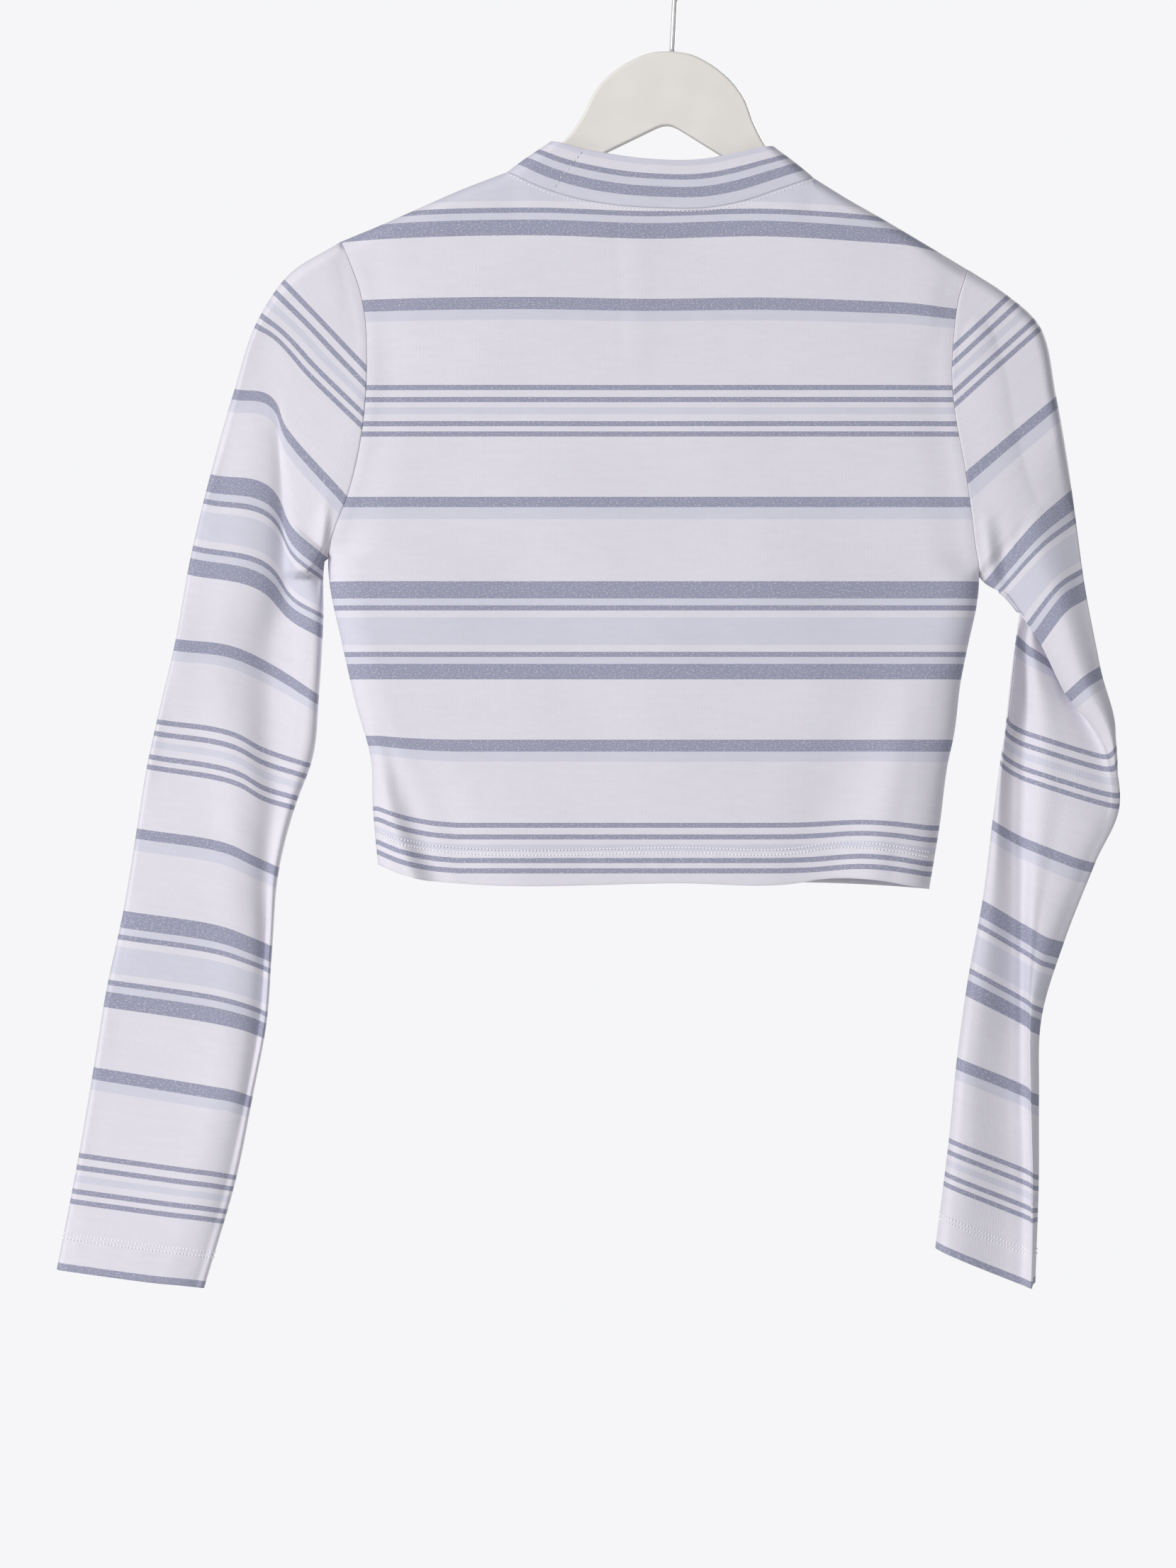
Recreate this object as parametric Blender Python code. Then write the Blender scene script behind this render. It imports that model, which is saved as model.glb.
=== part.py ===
"""A long-sleeved jersey crop top with a stand collar, hanging on a flat hanger.

Frame: the origin is the top of the inside of the hanger's hook, where a rod would carry it. +Z is up,
+X runs towards the wearer's right sleeve and the garment's back faces -Y. Outlines are given in
millimetres as (x, drop), where drop is the distance below the origin. Every piece of cloth is a closed
wall: an outer sheet, an inner sheet one wall thickness inside it, and a rim along each free edge.
"""
import math

import bmesh
import bpy
import numpy as np

MM = 0.001
SEAM_GAP = 0.3            # between two pieces that are sewn together
ARMHOLE_GAP = 0.4         # sideways, round the slanted armhole seam
WALL = 1.2                # single jersey, and its turned hem
COLLAR_WALL = 1.8         # the collar band is doubled

# Body outline. Each side is listed from the shoulder point down to the hem.
LEFT_SIDE = [(-198, 179.5), (-192.6, 193), (-187.4, 207), (-184.2, 222), (-182.8, 245), (-183.3, 268),
             (-187.4, 302), (-194.5, 330), (-201.2, 347), (-205, 360), (-205.7, 368), (-204.8, 380),
             (-198.4, 411), (-189.5, 450), (-180.6, 483), (-179.6, 510), (-176.6, 544)]
RIGHT_SIDE = [(168.7, 196), (163.3, 212), (159.9, 238), (159, 260), (160.8, 280), (166.6, 312),
              (170.7, 341), (172.7, 358), (175.2, 373), (175.3, 380), (174.2, 391), (169.3, 414), (165, 435),
              (160.4, 470), (157.5, 483), (152.5, 520), (146.2, 558.5)]
LEFT_SHOULDER = [(-198, 179.5), (-174.5, 169.7), (-151, 159.3), (-128, 149.2), (-101, 138.8)]
RIGHT_SHOULDER = [(79, 142.5), (98, 154.3), (117, 165.1), (145, 181.7), (168.7, 196)]
BACK_NECK = [(-101, 138.8), (-84, 147.2), (-62, 154.5), (-40, 158.6), (-12, 160.6), (17, 160.4),
             (38, 156.4), (59, 149.3), (79, 142.5)]
FRONT_NECK_DROP = 207     # the front neck is scooped, lowest on the centre line
BACK_HEM = [(-176.6, 544), (-164, 549.2), (-147, 553.3), (-130, 555), (0, 555), (68, 555), (82, 552.7),
            (95, 551.9), (107, 552.4), (146.2, 558.5)]
FRONT_HEM = [(-176.6, 544), (-150, 551), (-20, 554.5), (110, 556), (146.2, 558.5)]
LEFT_UNDERARM, RIGHT_UNDERARM = 365, 376
FRONT_ARMHOLE_SCOOP = 7   # the front armhole is cut further in than the back one

# Half depth of the body, from the shoulders to the hem.
BACK_DEPTH = [(140, 10.5), (200, 11.5), (300, 12.5), (420, 13.5), (560, 16)]
FRONT_DEPTH = [(140, 10.5), (210, 12), (300, 14), (420, 15), (560, 19)]
SIDE_ROUND, SHOULDER_ROUND, NECK_ROUND = 20, 7, 9
ARMHOLE_SHARE = 0.75      # depth of the armhole seam as a share of the body's, and where it is reached
ARMHOLE_TOP, ARMHOLE_BOTTOM = 0.05, 0.3

# Cloth length along a sleeve, from the shoulder point, where each drop on the armhole lies.
LEFT_CAP = [(179.5, 0), (251.8, 39.3), (286.3, 66.8), (329, 105.3), (365, 154.5)]
RIGHT_CAP = [(196, 12.7), (239.4, 39.3), (273.8, 66.8), (314.5, 105.3), (376, 150)]

# Sections across the left sleeve: cloth length, half depth, then the outer edge, the two sides of a soft
# trough down the sleeve, and the inner edge. Above the underarm the armhole takes the inner edge's place.
LEFT_SLEEVE = [
    (0, 11, (-198.3, 179.5), (-198.3, 179.5), (-198.3, 179.5), (-198.3, 179.5)),
    (39.3, 11, (-231, 201.2), (-204.5, 229), (-197.3, 236.6), (-183.1, 251.8)),
    (66.8, 11, (-247.6, 226.9), (-228, 242.5), (-216.5, 255.6), (-185.6, 286.3)),
    (105.3, 10.5, (-260.5, 265.9), (-235, 275.5), (-229.5, 289), (-194.4, 329)),
    (154.5, 10, (-274.6, 315.7), (-235, 328.6), (-227.7, 345), (-207.4, 365)),
    (202, 10, (-286.2, 363.9), (-238, 378), (-228.7, 391), (-208.6, 403.3)),
    (247, 9.5, (-294.9, 412), (-252, 420), (-236, 428.5), (-211.1, 444.8)),
    (296.8, 9, (-305.7, 458.5), (-257, 467.6), (-244.3, 474.7), (-215.6, 484.6)),
    (324.3, 9, (-311.5, 485.1), (-256, 496.3), (-244.3, 503.3), (-224.8, 509.5)),
    (363, 8.5, (-317.7, 523.2), (-261.3, 533.2), (-249.7, 539), (-234.3, 546.1)),
    (412, 8.5, (-325.6, 571), (-264, 581.3), (-251.3, 586.3), (-238.4, 592)),
    (460, 8, (-335.6, 618), (-268, 628.3), (-255.5, 631.5), (-241.8, 637)),
    (505, 8, (-343, 663), (-275, 674), (-263, 676), (-250, 680.5)),
    (554.2, 7.5, (-351.3, 712), (-287, 721), (-275, 722.5), (-259, 725.5)),
    (624.4, 7, (-364.6, 781), (-305, 789), (-294, 790), (-278.3, 792)),
]
LEFT_PLACES = (0, 0.55, 0.72, 1)      # where those four points lie across the half section
TROUGH, TROUGH_PLACE, TROUGH_WIDTH = 0.42, 0.64, 0.09

# Sections round the right sleeve, which is twisted by half a turn above the elbow, so that its upper part
# lies over the forearm as a flap. Each has its cloth length and the (x, y, drop) of: the outer fold, the
# middle of the flap, the underarm seam, the layer just under it, the long crease, the left edge and the
# middle of the rear. Above the underarm the armhole takes the place of the seam.
RIGHT_SLEEVE = [
    (12.7, (169, 0, 196), (169, 0, 196), (169, 0, 196), (169, 0, 196), (169, 0, 196), (169, 0, 196),
     (169, 0, 196)),
    (39.3, (191.1, 0, 210.3), (176, -10.5, 224.5), (160.2, -9, 239.4), (160.2, 9, 239.4),
     (167, 10.5, 233), (173, 10.5, 227), (182, 9.5, 218.7)),
    (66.8, (210.6, 0, 228.6), (186, -11, 250.4), (160.7, -9, 273.8), (158, 9, 273.8),
     (172, 11, 262), (183, 11, 252), (197, 10, 240)),
    (105.3, (220.5, 0, 270.1), (194, -11, 292), (166.9, -7, 314.5), (162, 7, 314.5),
     (179, 10, 303), (191, 11, 293), (207, 10, 281)),
    (150, (228.8, 0, 319.5), (205, -12, 341), (175.9, 0, 376), (177.5, 2, 374),
     (189, 8, 358), (196, 10, 346), (213, 11, 332)),
    (175, (232.5, 0, 348), (212, -13, 363), (190, -8, 387), (192.5, -3.5, 384),
     (198, 2, 370), (201, 6, 358), (217, 12, 352)),
    (202, (236.3, 0, 377.6), (222, -14, 387), (206.4, -11, 407.9), (208.5, -6, 405),
     (206, -3, 388), (201.5, 1.5, 378), (219, 13, 376)),
    (247, (245.8, 0, 428.2), (238, -13.5, 434), (225.1, -12, 444), (226, -7, 441),
     (203.5, -6.5, 415.3), (198.1, 0, 409.5), (221, 14, 418)),
    (296.8, (255, 1, 472), (253.8, -7, 475.5), (249.6, -9, 479.2), (246, -8, 478.8),
     (203.5, -7.5, 465.5), (192.7, 0, 456.4), (222, 15, 464)),
    (324.3, (249, 9, 500), (256.5, 0, 505), (252.5, -8, 508), (246, -9.5, 506.5),
     (203.1, -8, 492.9), (188.2, 0, 482.1), (218, 16, 491)),
    (363, (232, 11, 538), (242, 0, 542), (238.5, -7.5, 542.5), (233, -9.5, 541),
     (202, -8, 529), (183.2, 0, 518.3), (207, 16, 530)),
    (412, (214, 11, 584), (223.9, 0, 589), (221, -7, 588.6), (216.5, -9.5, 587.4),
     (201.2, -7, 579), (177.4, 0, 565.1), (196, 16, 577)),
    (460, (202, 11, 628), (211, 0, 634.5), (209, -7, 633.8), (206.5, -9, 632.8),
     (200.8, -7, 628.5), (169.1, 0, 611.6), (186, 16, 620)),
    (505, (200, 11, 672), (209.6, 0, 679), (208, -7, 678.5), (206, -9, 677.8),
     (201, -7.5, 673.5), (162.8, 0, 657.7), (182, 16, 665)),
    (554.2, (200, 11, 718), (209.5, 0, 725), (208.3, -7, 724.8), (206.8, -9, 724.4),
     (202.3, -8, 721.5), (158.3, 0, 703.8), (180, 16, 711)),
    (624.4, (198, 11, 786), (207.5, 0, 788), (206.6, -7, 789.5), (205.4, -9, 790.6),
     (201.5, -8.5, 790.5), (150.4, 0, 769), (174, 16, 775)),
]
RIGHT_PLACES = (0, 0.5, 1, 1.12, 1.5, 2, 2.5, 3)

ARM_ROUND_DEPTH, ARM_ROUND = 10.5, 8

# The collar's top fold, side to side, as (x, drop). The front one droops like the front neck.
BACK_COLLAR_TOP = [(-74.8, 120.5), (-62.5, 124.4), (-44.2, 128.2), (-20, 131.6), (15, 131.6),
                   (27, 129.4), (54.6, 123.4)]
FRONT_COLLAR_DROP = 179.5

# The hanger in its own frame: (across, below its top), tilted so that its right arm hangs lower.
HANGER_TILT = math.radians(3.0)
HANGER_TOP = (-4.5, 68.4)
HANGER_THICKNESS = 10
HANGER_EDGE_ROUND = 3
HANGER_UPPER = [(0, 0), (10.7, 1.1), (23.3, 6.5), (36, 16), (43.3, 25), (50.2, 40.2), (57.8, 52.6),
                (72, 65.5), (87.5, 77), (213, 145.5)]
HANGER_LOWER = [(0, 41.5), (34.5, 60.6), (204, 158.5)]

HOOK_WIRE = 3.0
HOOK_RADIUS = 18          # of the wire's centre line
HOOK_START, HOOK_END = -62, 205       # degrees round the hook, from the stem to the free end
HOOK_STEPS = 22

# Fineness of the faceted walls.
CAP_ROWS = (0, 0.004, 0.015, 0.035, 0.08, 0.17, 0.28, 0.4, 0.52, 0.64, 0.76, 0.87, 0.95, 1)
BODY_ROWS = (0.08, 0.2, 0.35, 0.5, 0.65, 0.8, 0.93, 1)
LEFT_ROWS = (168, 185, 202, 225, 247, 270, 296.8, 324.3, 363, 412, 460, 505, 554.2, 602, 624.4)
RIGHT_ROWS = (162, 175, 188, 202, 224, 247, 271, 296.8, 310, 324.3, 342, 363, 388, 412, 460, 505,
              554.2, 624.4)
SIDE_STEPS = (0, 0.045, 0.13, 0.3, 0.58, 0.83)      # across a shoulder, armhole to neck
NECK_STEPS = (0, 0.009, 0.027, 0.06, 0.13, 0.25, 0.375, 0.5)
LEFT_COLUMNS = (0, 0.03, 0.09, 0.22, 0.4, 0.56, 0.64, 0.72, 0.88, 1)
RIGHT_COLUMNS = (0, 0.07, 0.2, 0.5, 0.8, 0.93, 1, 1.06, 1.12, 1.3, 1.5, 1.75, 1.93, 2, 2.07, 2.25, 2.5,
                 2.75, 2.93)
COLLAR_ROWS = (0, 0.35, 0.7, 1)


def smooth(at, knots, values):
    """Cubic Hermite curve through the values, whose slope at a knot is that between its neighbours."""
    knots = np.asarray(knots, float)
    values = np.asarray(values, float)
    at = np.clip(np.asarray(at, float), knots[0], knots[-1])
    slopes = np.gradient(values, knots, axis=0)
    left = np.clip(np.searchsorted(knots, at, side="right") - 1, 0, len(knots) - 2)
    span = knots[left + 1] - knots[left]
    t = (at - knots[left]) / span
    if values.ndim > 1:
        t, span = t[..., None], span[..., None]
    return ((2 * t**3 - 3 * t**2 + 1) * values[left] + (t**3 - 2 * t**2 + t) * span * slopes[left]
            + (3 * t**2 - 2 * t**3) * values[left + 1] + (t**3 - t**2) * span * slopes[left + 1])


def along(points, at, by=1):
    """Read an outline at given drops (by=1, giving x) or at given x (by=0, giving the drop)."""
    table = np.array(points, float)
    return smooth(at, table[:, by], table[:, 1 - by])


def rounding(share):
    """A quarter circle's rise: 0 at the edge, 1 from the reach inwards."""
    return np.sqrt(1 - (1 - np.clip(share, 0, 1)) ** 2)


def half_depth(drop, front):
    table = np.array(FRONT_DEPTH if front else BACK_DEPTH, float)
    return smooth(drop, table[:, 0], table[:, 1])


def armhole(rows, right, front):
    """The body's armhole edge: its x, y and drop at shares of the way from the shoulder to the underarm."""
    rows = np.asarray(rows, float)
    side = RIGHT_SIDE if right else LEFT_SIDE
    start, end = side[0][1], RIGHT_UNDERARM if right else LEFT_UNDERARM
    drop = start + rows * (end - start)
    x = along(side, drop)
    hollow = np.sin(math.pi * np.clip(rows, 0, 1))
    if front:
        x = x - FRONT_ARMHOLE_SCOOP * (1 if right else -1) * hollow
    depth = edge_depth(rows, drop, start, front)
    return x, (SEAM_GAP / 2 + depth) * (1 if front else -1), drop


def armhole_share(rows):
    """Share of the body's depth along the armhole: none at the shoulder point and at the underarm."""
    return ARMHOLE_SHARE * rounding(rows / ARMHOLE_TOP) * rounding((1 - rows) / ARMHOLE_BOTTOM)


def edge_depth(rows, drop, start, front):
    """Depth of the armhole seam in millimetres."""
    return half_depth(drop, front) * armhole_share(rows) * rounding((drop - start) / SHOULDER_ROUND)


def top_drop(x, front):
    """The drop of a panel's upper edge at x: shoulder, neck and shoulder."""
    neck_left, neck_right = BACK_NECK[0], BACK_NECK[-1]
    if front:
        place = np.clip((x - neck_left[0]) / (neck_right[0] - neck_left[0]), 0, 1)
        line = neck_left[1] + place * (neck_right[1] - neck_left[1])
        neck = line + (FRONT_NECK_DROP - 140.5) * (1 - np.abs(2 * place - 1) ** 2.3) ** 0.75
    else:
        neck = along(BACK_NECK, x, by=0)
    left = along(LEFT_SHOULDER, x, by=0)
    right = along(RIGHT_SHOULDER, x, by=0)
    return np.where(x < neck_left[0], left, np.where(x > neck_right[0], right, neck))


def panel_columns():
    """Shares across a panel, closer together at the armholes and at the neck's corners."""
    width = RIGHT_SIDE[0][0] - LEFT_SIDE[0][0]
    left = (BACK_NECK[0][0] - LEFT_SIDE[0][0]) / width
    right = (BACK_NECK[-1][0] - LEFT_SIDE[0][0]) / width
    neck = [left + (right - left) * step for step in NECK_STEPS]
    other = [left + right - share for share in reversed(neck[:-1])]
    shares = [left * step for step in SIDE_STEPS] + neck + other
    return np.array(shares + [1 - (1 - right) * step for step in reversed(SIDE_STEPS)])


def panel(front):
    """The back or front panel: an outer sheet of rows from the upper edge to the hem."""
    share = panel_columns()[None, :]
    rows = np.array(CAP_ROWS + tuple(1 + g for g in BODY_ROWS))[:, None]
    in_cap = rows <= 1
    below = np.clip(rows - 1, 0, 1)
    ends = []
    for right in (False, True):
        side = RIGHT_SIDE if right else LEFT_SIDE
        underarm = RIGHT_UNDERARM if right else LEFT_UNDERARM
        x, _, drop = armhole(rows, right, front)
        lower = underarm + below * (side[-1][1] - underarm)
        ends.append((np.where(in_cap, x, along(side, lower)), np.where(in_cap, drop, lower)))
    (left_x, left_drop), (right_x, right_drop) = ends
    x = left_x + share * (right_x - left_x)
    level = left_drop + share * (right_drop - left_drop)
    rise = top_drop(x[:1], front) - level[:1]
    fall = along(FRONT_HEM if front else BACK_HEM, x[-1:], by=0) - level[-1:]
    drop = level + rise * (1 - np.clip(rows, 0, 1)) + fall * below**2
    edge = np.minimum(x - left_x, right_x - x) / SIDE_ROUND
    kept = armhole_share(rows) * in_cap
    across = kept + (1 - kept) * rounding(edge)
    corner = np.where(x[:1] < 0, BACK_NECK[0][1], BACK_NECK[-1][1])
    from_neck = np.minimum(x[:1] - BACK_NECK[0][0], BACK_NECK[-1][0] - x[:1])
    from_neck = np.where(from_neck > 0, np.hypot(from_neck, drop[:1] - corner), 0) / NECK_ROUND
    under_top = rounding((drop - drop[:1]) / SHOULDER_ROUND)
    lift = 1 - (1 - under_top) * (1 - rounding(from_neck))
    y = SEAM_GAP / 2 + half_depth(drop, front) * across * lift
    return np.stack([x + 0 * drop, y if front else -y, -drop], axis=-1)


def left_half(lengths, ends, front):
    """Half of the left sleeve: rows across it, from the outer edge to the armhole or the inner edge."""
    table = LEFT_SLEEVE
    knots = [row[0] for row in table]
    depth = smooth(lengths, knots, [row[1] for row in table])[:, None]
    net = [smooth(lengths, knots, [row[2 + i] for row in table]) for i in range(4)]
    cap = len(ends[0])
    net[3][:cap] = np.stack([ends[0], ends[2]], axis=-1)
    place = np.array(LEFT_COLUMNS)
    flat = smooth(place, LEFT_PLACES, np.stack(net).reshape(4, -1)).reshape(len(place), -1, 2)
    flat = flat.transpose(1, 0, 2)
    width = np.linalg.norm(flat[:, -1] - flat[:, 0], axis=1)[:, None]
    near_outer = rounding(place * width / SHOULDER_ROUND / 1.3)
    near_inner = rounding((1 - place) * width / SHOULDER_ROUND / 1.6)
    kept = np.zeros((len(lengths), 1))
    kept[:cap, 0] = np.abs(ends[1])
    trough = 1 - TROUGH * np.exp(-((place - TROUGH_PLACE) / TROUGH_WIDTH) ** 2)
    trough = 1 + (trough - 1) * (0.5 if front else 1) * np.clip((lengths[:, None] - 60) / 60, 0, 1)
    y = np.maximum(depth * near_outer * near_inner * trough, kept * near_outer)
    y[:cap, -1] = kept[:cap, 0]
    return np.stack([flat[..., 0], y if front else -y, -flat[..., 1]], axis=-1)


def sleeve_edges(right):
    """The sleeve's two armhole edges, a seam gap away from the body's, with the cloth length at each row."""
    cap = np.array(RIGHT_CAP if right else LEFT_CAP, float)
    shift = ARMHOLE_GAP if right else -ARMHOLE_GAP
    edges = []
    for front in (False, True):
        x, y, drop = armhole(CAP_ROWS, right, front)
        edges.append((x + shift, y, drop))
    return smooth(edges[0][2], cap[:, 0], cap[:, 1]), edges


def left_sleeve():
    """Rings of the left sleeve: front half from the armhole to the outer edge, then the back half."""
    cap_lengths, (back, front) = sleeve_edges(False)
    lengths = np.concatenate([cap_lengths, LEFT_ROWS])
    rear = left_half(lengths, back, False)
    fore = left_half(lengths, front, True)
    grid = np.concatenate([fore[:, :0:-1], rear], axis=1)
    grid[len(cap_lengths) - 1:, 0] = grid[len(cap_lengths) - 1:, -1]
    return grid, len(cap_lengths)


def right_sleeve():
    """Rings of the right sleeve, from its front armhole edge round the rear and the flap to the back one."""
    cap_lengths, (back, front) = sleeve_edges(True)
    lengths = np.concatenate([cap_lengths, RIGHT_ROWS])
    cap = len(cap_lengths)
    knots = [row[0] for row in RIGHT_SLEEVE]
    net = np.stack([smooth(lengths, knots, [row[1 + i] for row in RIGHT_SLEEVE]) for i in range(7)])
    place = np.array(RIGHT_COLUMNS)
    flap = place <= 1
    rows = []
    for i in range(len(lengths)):
        points = np.concatenate([net[:, i], net[:1, i]])
        if i < cap:
            points[2] = [back[0][i], back[1][i], back[2][i]]
            rear = points.copy()
            rear[2] = [front[0][i], front[1][i], front[2][i]]
            ring_rear = smooth(place[~flap], (1,) + RIGHT_PLACES[4:], rear[[2, 4, 5, 6, 7]])
            ring_flap = smooth(place[flap], RIGHT_PLACES[:3], points[:3])
            ring = np.concatenate([ring_flap, ring_rear])
            start = rear[2]
        else:
            wrapped = np.concatenate([points[5:7], points, points[1:2]])
            ring = smooth(place, (-1, -0.5) + RIGHT_PLACES + (3.5,), wrapped)
            start = ring[flap][-1]
        ring[:, 1] = over_arm(ring, place, lengths[i])
        seam = int(flap.sum())
        rows.append(np.concatenate([[start], ring[seam:], ring[:seam]]))
    grid = np.array(rows)
    grid[..., 2] *= -1
    return grid, cap


def over_arm(ring, place, length):
    """Near the shoulder a ring bulges evenly round the hanger's arm, whatever its sections say."""
    away = np.linalg.norm(ring[:, ::2] - ring[0, ::2], axis=1)
    full = ARM_ROUND_DEPTH * rounding(away / ARM_ROUND)
    free = np.clip((175 - length) / 50, 0, 1) * rounding(np.abs(place - 1) / 0.1)
    side = np.where(place <= 1, -1, 1)
    return ring[:, 1] + free * side * np.maximum(full - side * ring[:, 1], 0)


def vertex_normals(points, faces):
    """Area-weighted normals of a sheet of quads."""
    corners = points[faces]
    face_normals = np.cross(corners[:, 2] - corners[:, 0], corners[:, 3] - corners[:, 1])
    normals = np.zeros_like(points)
    for i in range(4):
        np.add.at(normals, faces[:, i], face_normals)
    return normals / np.maximum(np.linalg.norm(normals, axis=1), 1e-12)[:, None]


def sheet_faces(index, flip):
    """Quads between the rows and columns of a grid of vertex numbers."""
    quads = np.stack([index[:-1, :-1], index[:-1, 1:], index[1:, 1:], index[1:, :-1]], axis=-1)
    quads = quads.reshape(-1, 4)
    return quads if flip else quads[:, ::-1]


def number_vertices(grid, joined_from=None, pole=False):
    """Number a grid's points, sharing the first and last columns from a row on, and row 0 at a pole."""
    index = np.arange(grid.shape[0] * grid.shape[1]).reshape(grid.shape[:2])
    if pole:
        index[0, :] = index[0, 0]
    if joined_from is not None:
        index[joined_from:, 0] = index[joined_from:, -1]
    return index


def cloth(name, grid, index, material, thickness=WALL, flip=False, arms=None, forced=(), keep_side=0,
          limit=None):
    """Make a closed wall from an outer sheet.

    arms marks the armhole edges, where the rim stays in the plane of the seam, with no part along x.
    forced lists (marked vertices, normal) for sewn edges that face one way. keep_side holds the inner
    sheet on its own side of y = 0, and limit, (side, x of each point), holds the inner sheet of a
    sleeve's first rows on the sleeve's side of the armhole.
    """
    points = grid.reshape(-1, 3)
    faces = sheet_faces(index, flip)
    normals = vertex_normals(points, faces)
    if arms is not None:
        normals[np.unique(index[arms]), 0] = 0
    for marked, normal in forced:
        normals[np.unique(index[marked])] = normal
    normals /= np.maximum(np.linalg.norm(normals, axis=1), 1e-9)[:, None]
    inner = points - thickness * normals
    if keep_side:
        inner[:, 1] = keep_side * np.maximum(keep_side * inner[:, 1], SEAM_GAP / 2)
    if limit:
        inner[:, 0] = limit[0] * np.maximum(limit[0] * inner[:, 0], limit[0] * limit[1].ravel())
    count = len(points)
    mesh_faces = []
    edges = {}
    for face in faces:
        ring = [int(v) for i, v in enumerate(face) if v != face[i - 1]]
        if len(set(ring)) < 3:
            continue
        mesh_faces.append(ring)
        mesh_faces.append([v + count for v in reversed(ring)])
        for a, b in zip(ring, ring[1:] + ring[:1]):
            edges[(a, b)] = True
    rims = [[b, a, a + count, b + count] for a, b in edges if (b, a) not in edges]
    return mesh_object(name, np.concatenate([points, inner]), mesh_faces + rims, material)


def mesh_object(name, points, faces, material):
    """Put points in millimetres and their faces into a new object, turned outwards as a whole."""
    used = sorted({v for face in faces for v in face})
    number = {v: i for i, v in enumerate(used)}
    mesh = bpy.data.meshes.new(name)
    mesh.from_pydata([tuple(points[v] * MM) for v in used], [], [[number[v] for v in f] for f in faces])
    work = bmesh.new()
    work.from_mesh(mesh)
    bmesh.ops.triangulate(work, faces=work.faces)
    if work.calc_volume(signed=True) < 0:
        bmesh.ops.reverse_faces(work, faces=work.faces)
    work.to_mesh(mesh)
    work.free()
    mesh.materials.append(material)
    obj = bpy.data.objects.new(name, mesh)
    bpy.context.scene.collection.objects.link(obj)
    return obj


def make_panel(front, material):
    """Build the back or the front panel as a wall and return its neck edge for the collar."""
    grid = panel(front)
    index = number_vertices(grid)
    cap = len(CAP_ROWS)
    left, right, top = np.zeros((3,) + index.shape, bool)
    left[cap - 1:, 0] = True
    right[cap - 1:, -1] = True
    neck = np.abs(grid[0, :, 0] - (BACK_NECK[0][0] + BACK_NECK[-1][0]) / 2)
    neck = neck < (BACK_NECK[-1][0] - BACK_NECK[0][0]) / 2 + 1e-6
    inside = neck & np.roll(neck, 1) & np.roll(neck, -1)
    top[0, ~inside] = True
    arms = np.zeros(index.shape, bool)
    arms[:cap - 1, [0, -1]] = True
    cloth("front" if front else "back", grid, index, material, flip=front,
          arms=arms, forced=((left, (-1, 0, 0)), (right, (1, 0, 0)), (top, (0, 0, 1))),
          keep_side=1 if front else -1)
    return grid[0, neck]


def make_sleeve(name, grid, cap, flip, material):
    """Build a sleeve: a ring of cloth that is open along the armhole for its first rows."""
    index = number_vertices(grid, joined_from=cap - 1, pole=True)
    arms = np.zeros(index.shape, bool)
    arms[:cap - 1, [0, -1]] = True
    side = 1 if grid[0, 0, 0] > 0 else -1
    limit = np.full(index.shape, -side * np.inf)
    middle = int(np.argmin(np.abs(grid[1, :, 1])[2:-2])) + 2
    limit[:cap, :middle] = grid[:cap, :1, 0]
    limit[:cap, middle:] = grid[:cap, -1:, 0]
    return cloth(name, grid, index, material, flip=flip, arms=arms, limit=(side, limit))


def make_collar(back_edge, front_edge, material):
    """The band: from the neck seam to its top fold, round the back and the droop of the front."""
    base = np.concatenate([back_edge, front_edge[-2:0:-1]])
    share = (base[:, 0] - BACK_NECK[0][0]) / (BACK_NECK[-1][0] - BACK_NECK[0][0])
    share = np.clip(share, 0, 1)
    left, right = BACK_COLLAR_TOP[0], BACK_COLLAR_TOP[-1]
    x = left[0] + share * (right[0] - left[0])
    is_front = np.arange(len(base)) >= len(back_edge)
    corner = left[1] + share * (right[1] - left[1])
    droop = (FRONT_COLLAR_DROP - (left[1] + right[1]) / 2) * (1 - np.abs(2 * share - 1) ** 2.3) ** 0.75
    drop = np.where(is_front, corner + droop, along(BACK_COLLAR_TOP, x, by=0))
    top = np.stack([x, base[:, 1], -drop], axis=-1)
    base[[0, len(back_edge) - 1], 1] = 0
    top[[0, len(back_edge) - 1], 1] = 0
    direction = (top - base) / np.linalg.norm(top - base, axis=1)[:, None]
    base = base + 2.2 * SEAM_GAP * direction
    rows = np.array(COLLAR_ROWS)[:, None, None]
    grid = base + rows * (top - base)
    grid = np.concatenate([grid, grid[:, :1]], axis=1)
    index = number_vertices(grid, joined_from=0)
    return cloth("collar", grid, index, material, thickness=COLLAR_WALL, flip=True)


def hanger_outline():
    """The hanger's outline in its own frame, clockwise from the top: arms, round tips, V underneath."""
    top, under = HANGER_UPPER[-1], HANGER_LOWER[-1]
    right = [(a, -b) for a, b in HANGER_UPPER]
    centre = ((top[0] + under[0]) / 2, -(top[1] + under[1]) / 2)
    radius = math.hypot(top[0] - under[0], top[1] - under[1]) / 2
    start = math.atan2(-top[1] - centre[1], top[0] - centre[0])
    tip = [(centre[0] + radius * math.cos(start - math.pi * k / 8),
            centre[1] + radius * math.sin(start - math.pi * k / 8)) for k in range(1, 8)]
    right += tip + [(a, -b) for a, b in reversed(HANGER_LOWER)]
    left = [(-a, b) for a, b in reversed(right[1:-1])]
    return right + left


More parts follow.
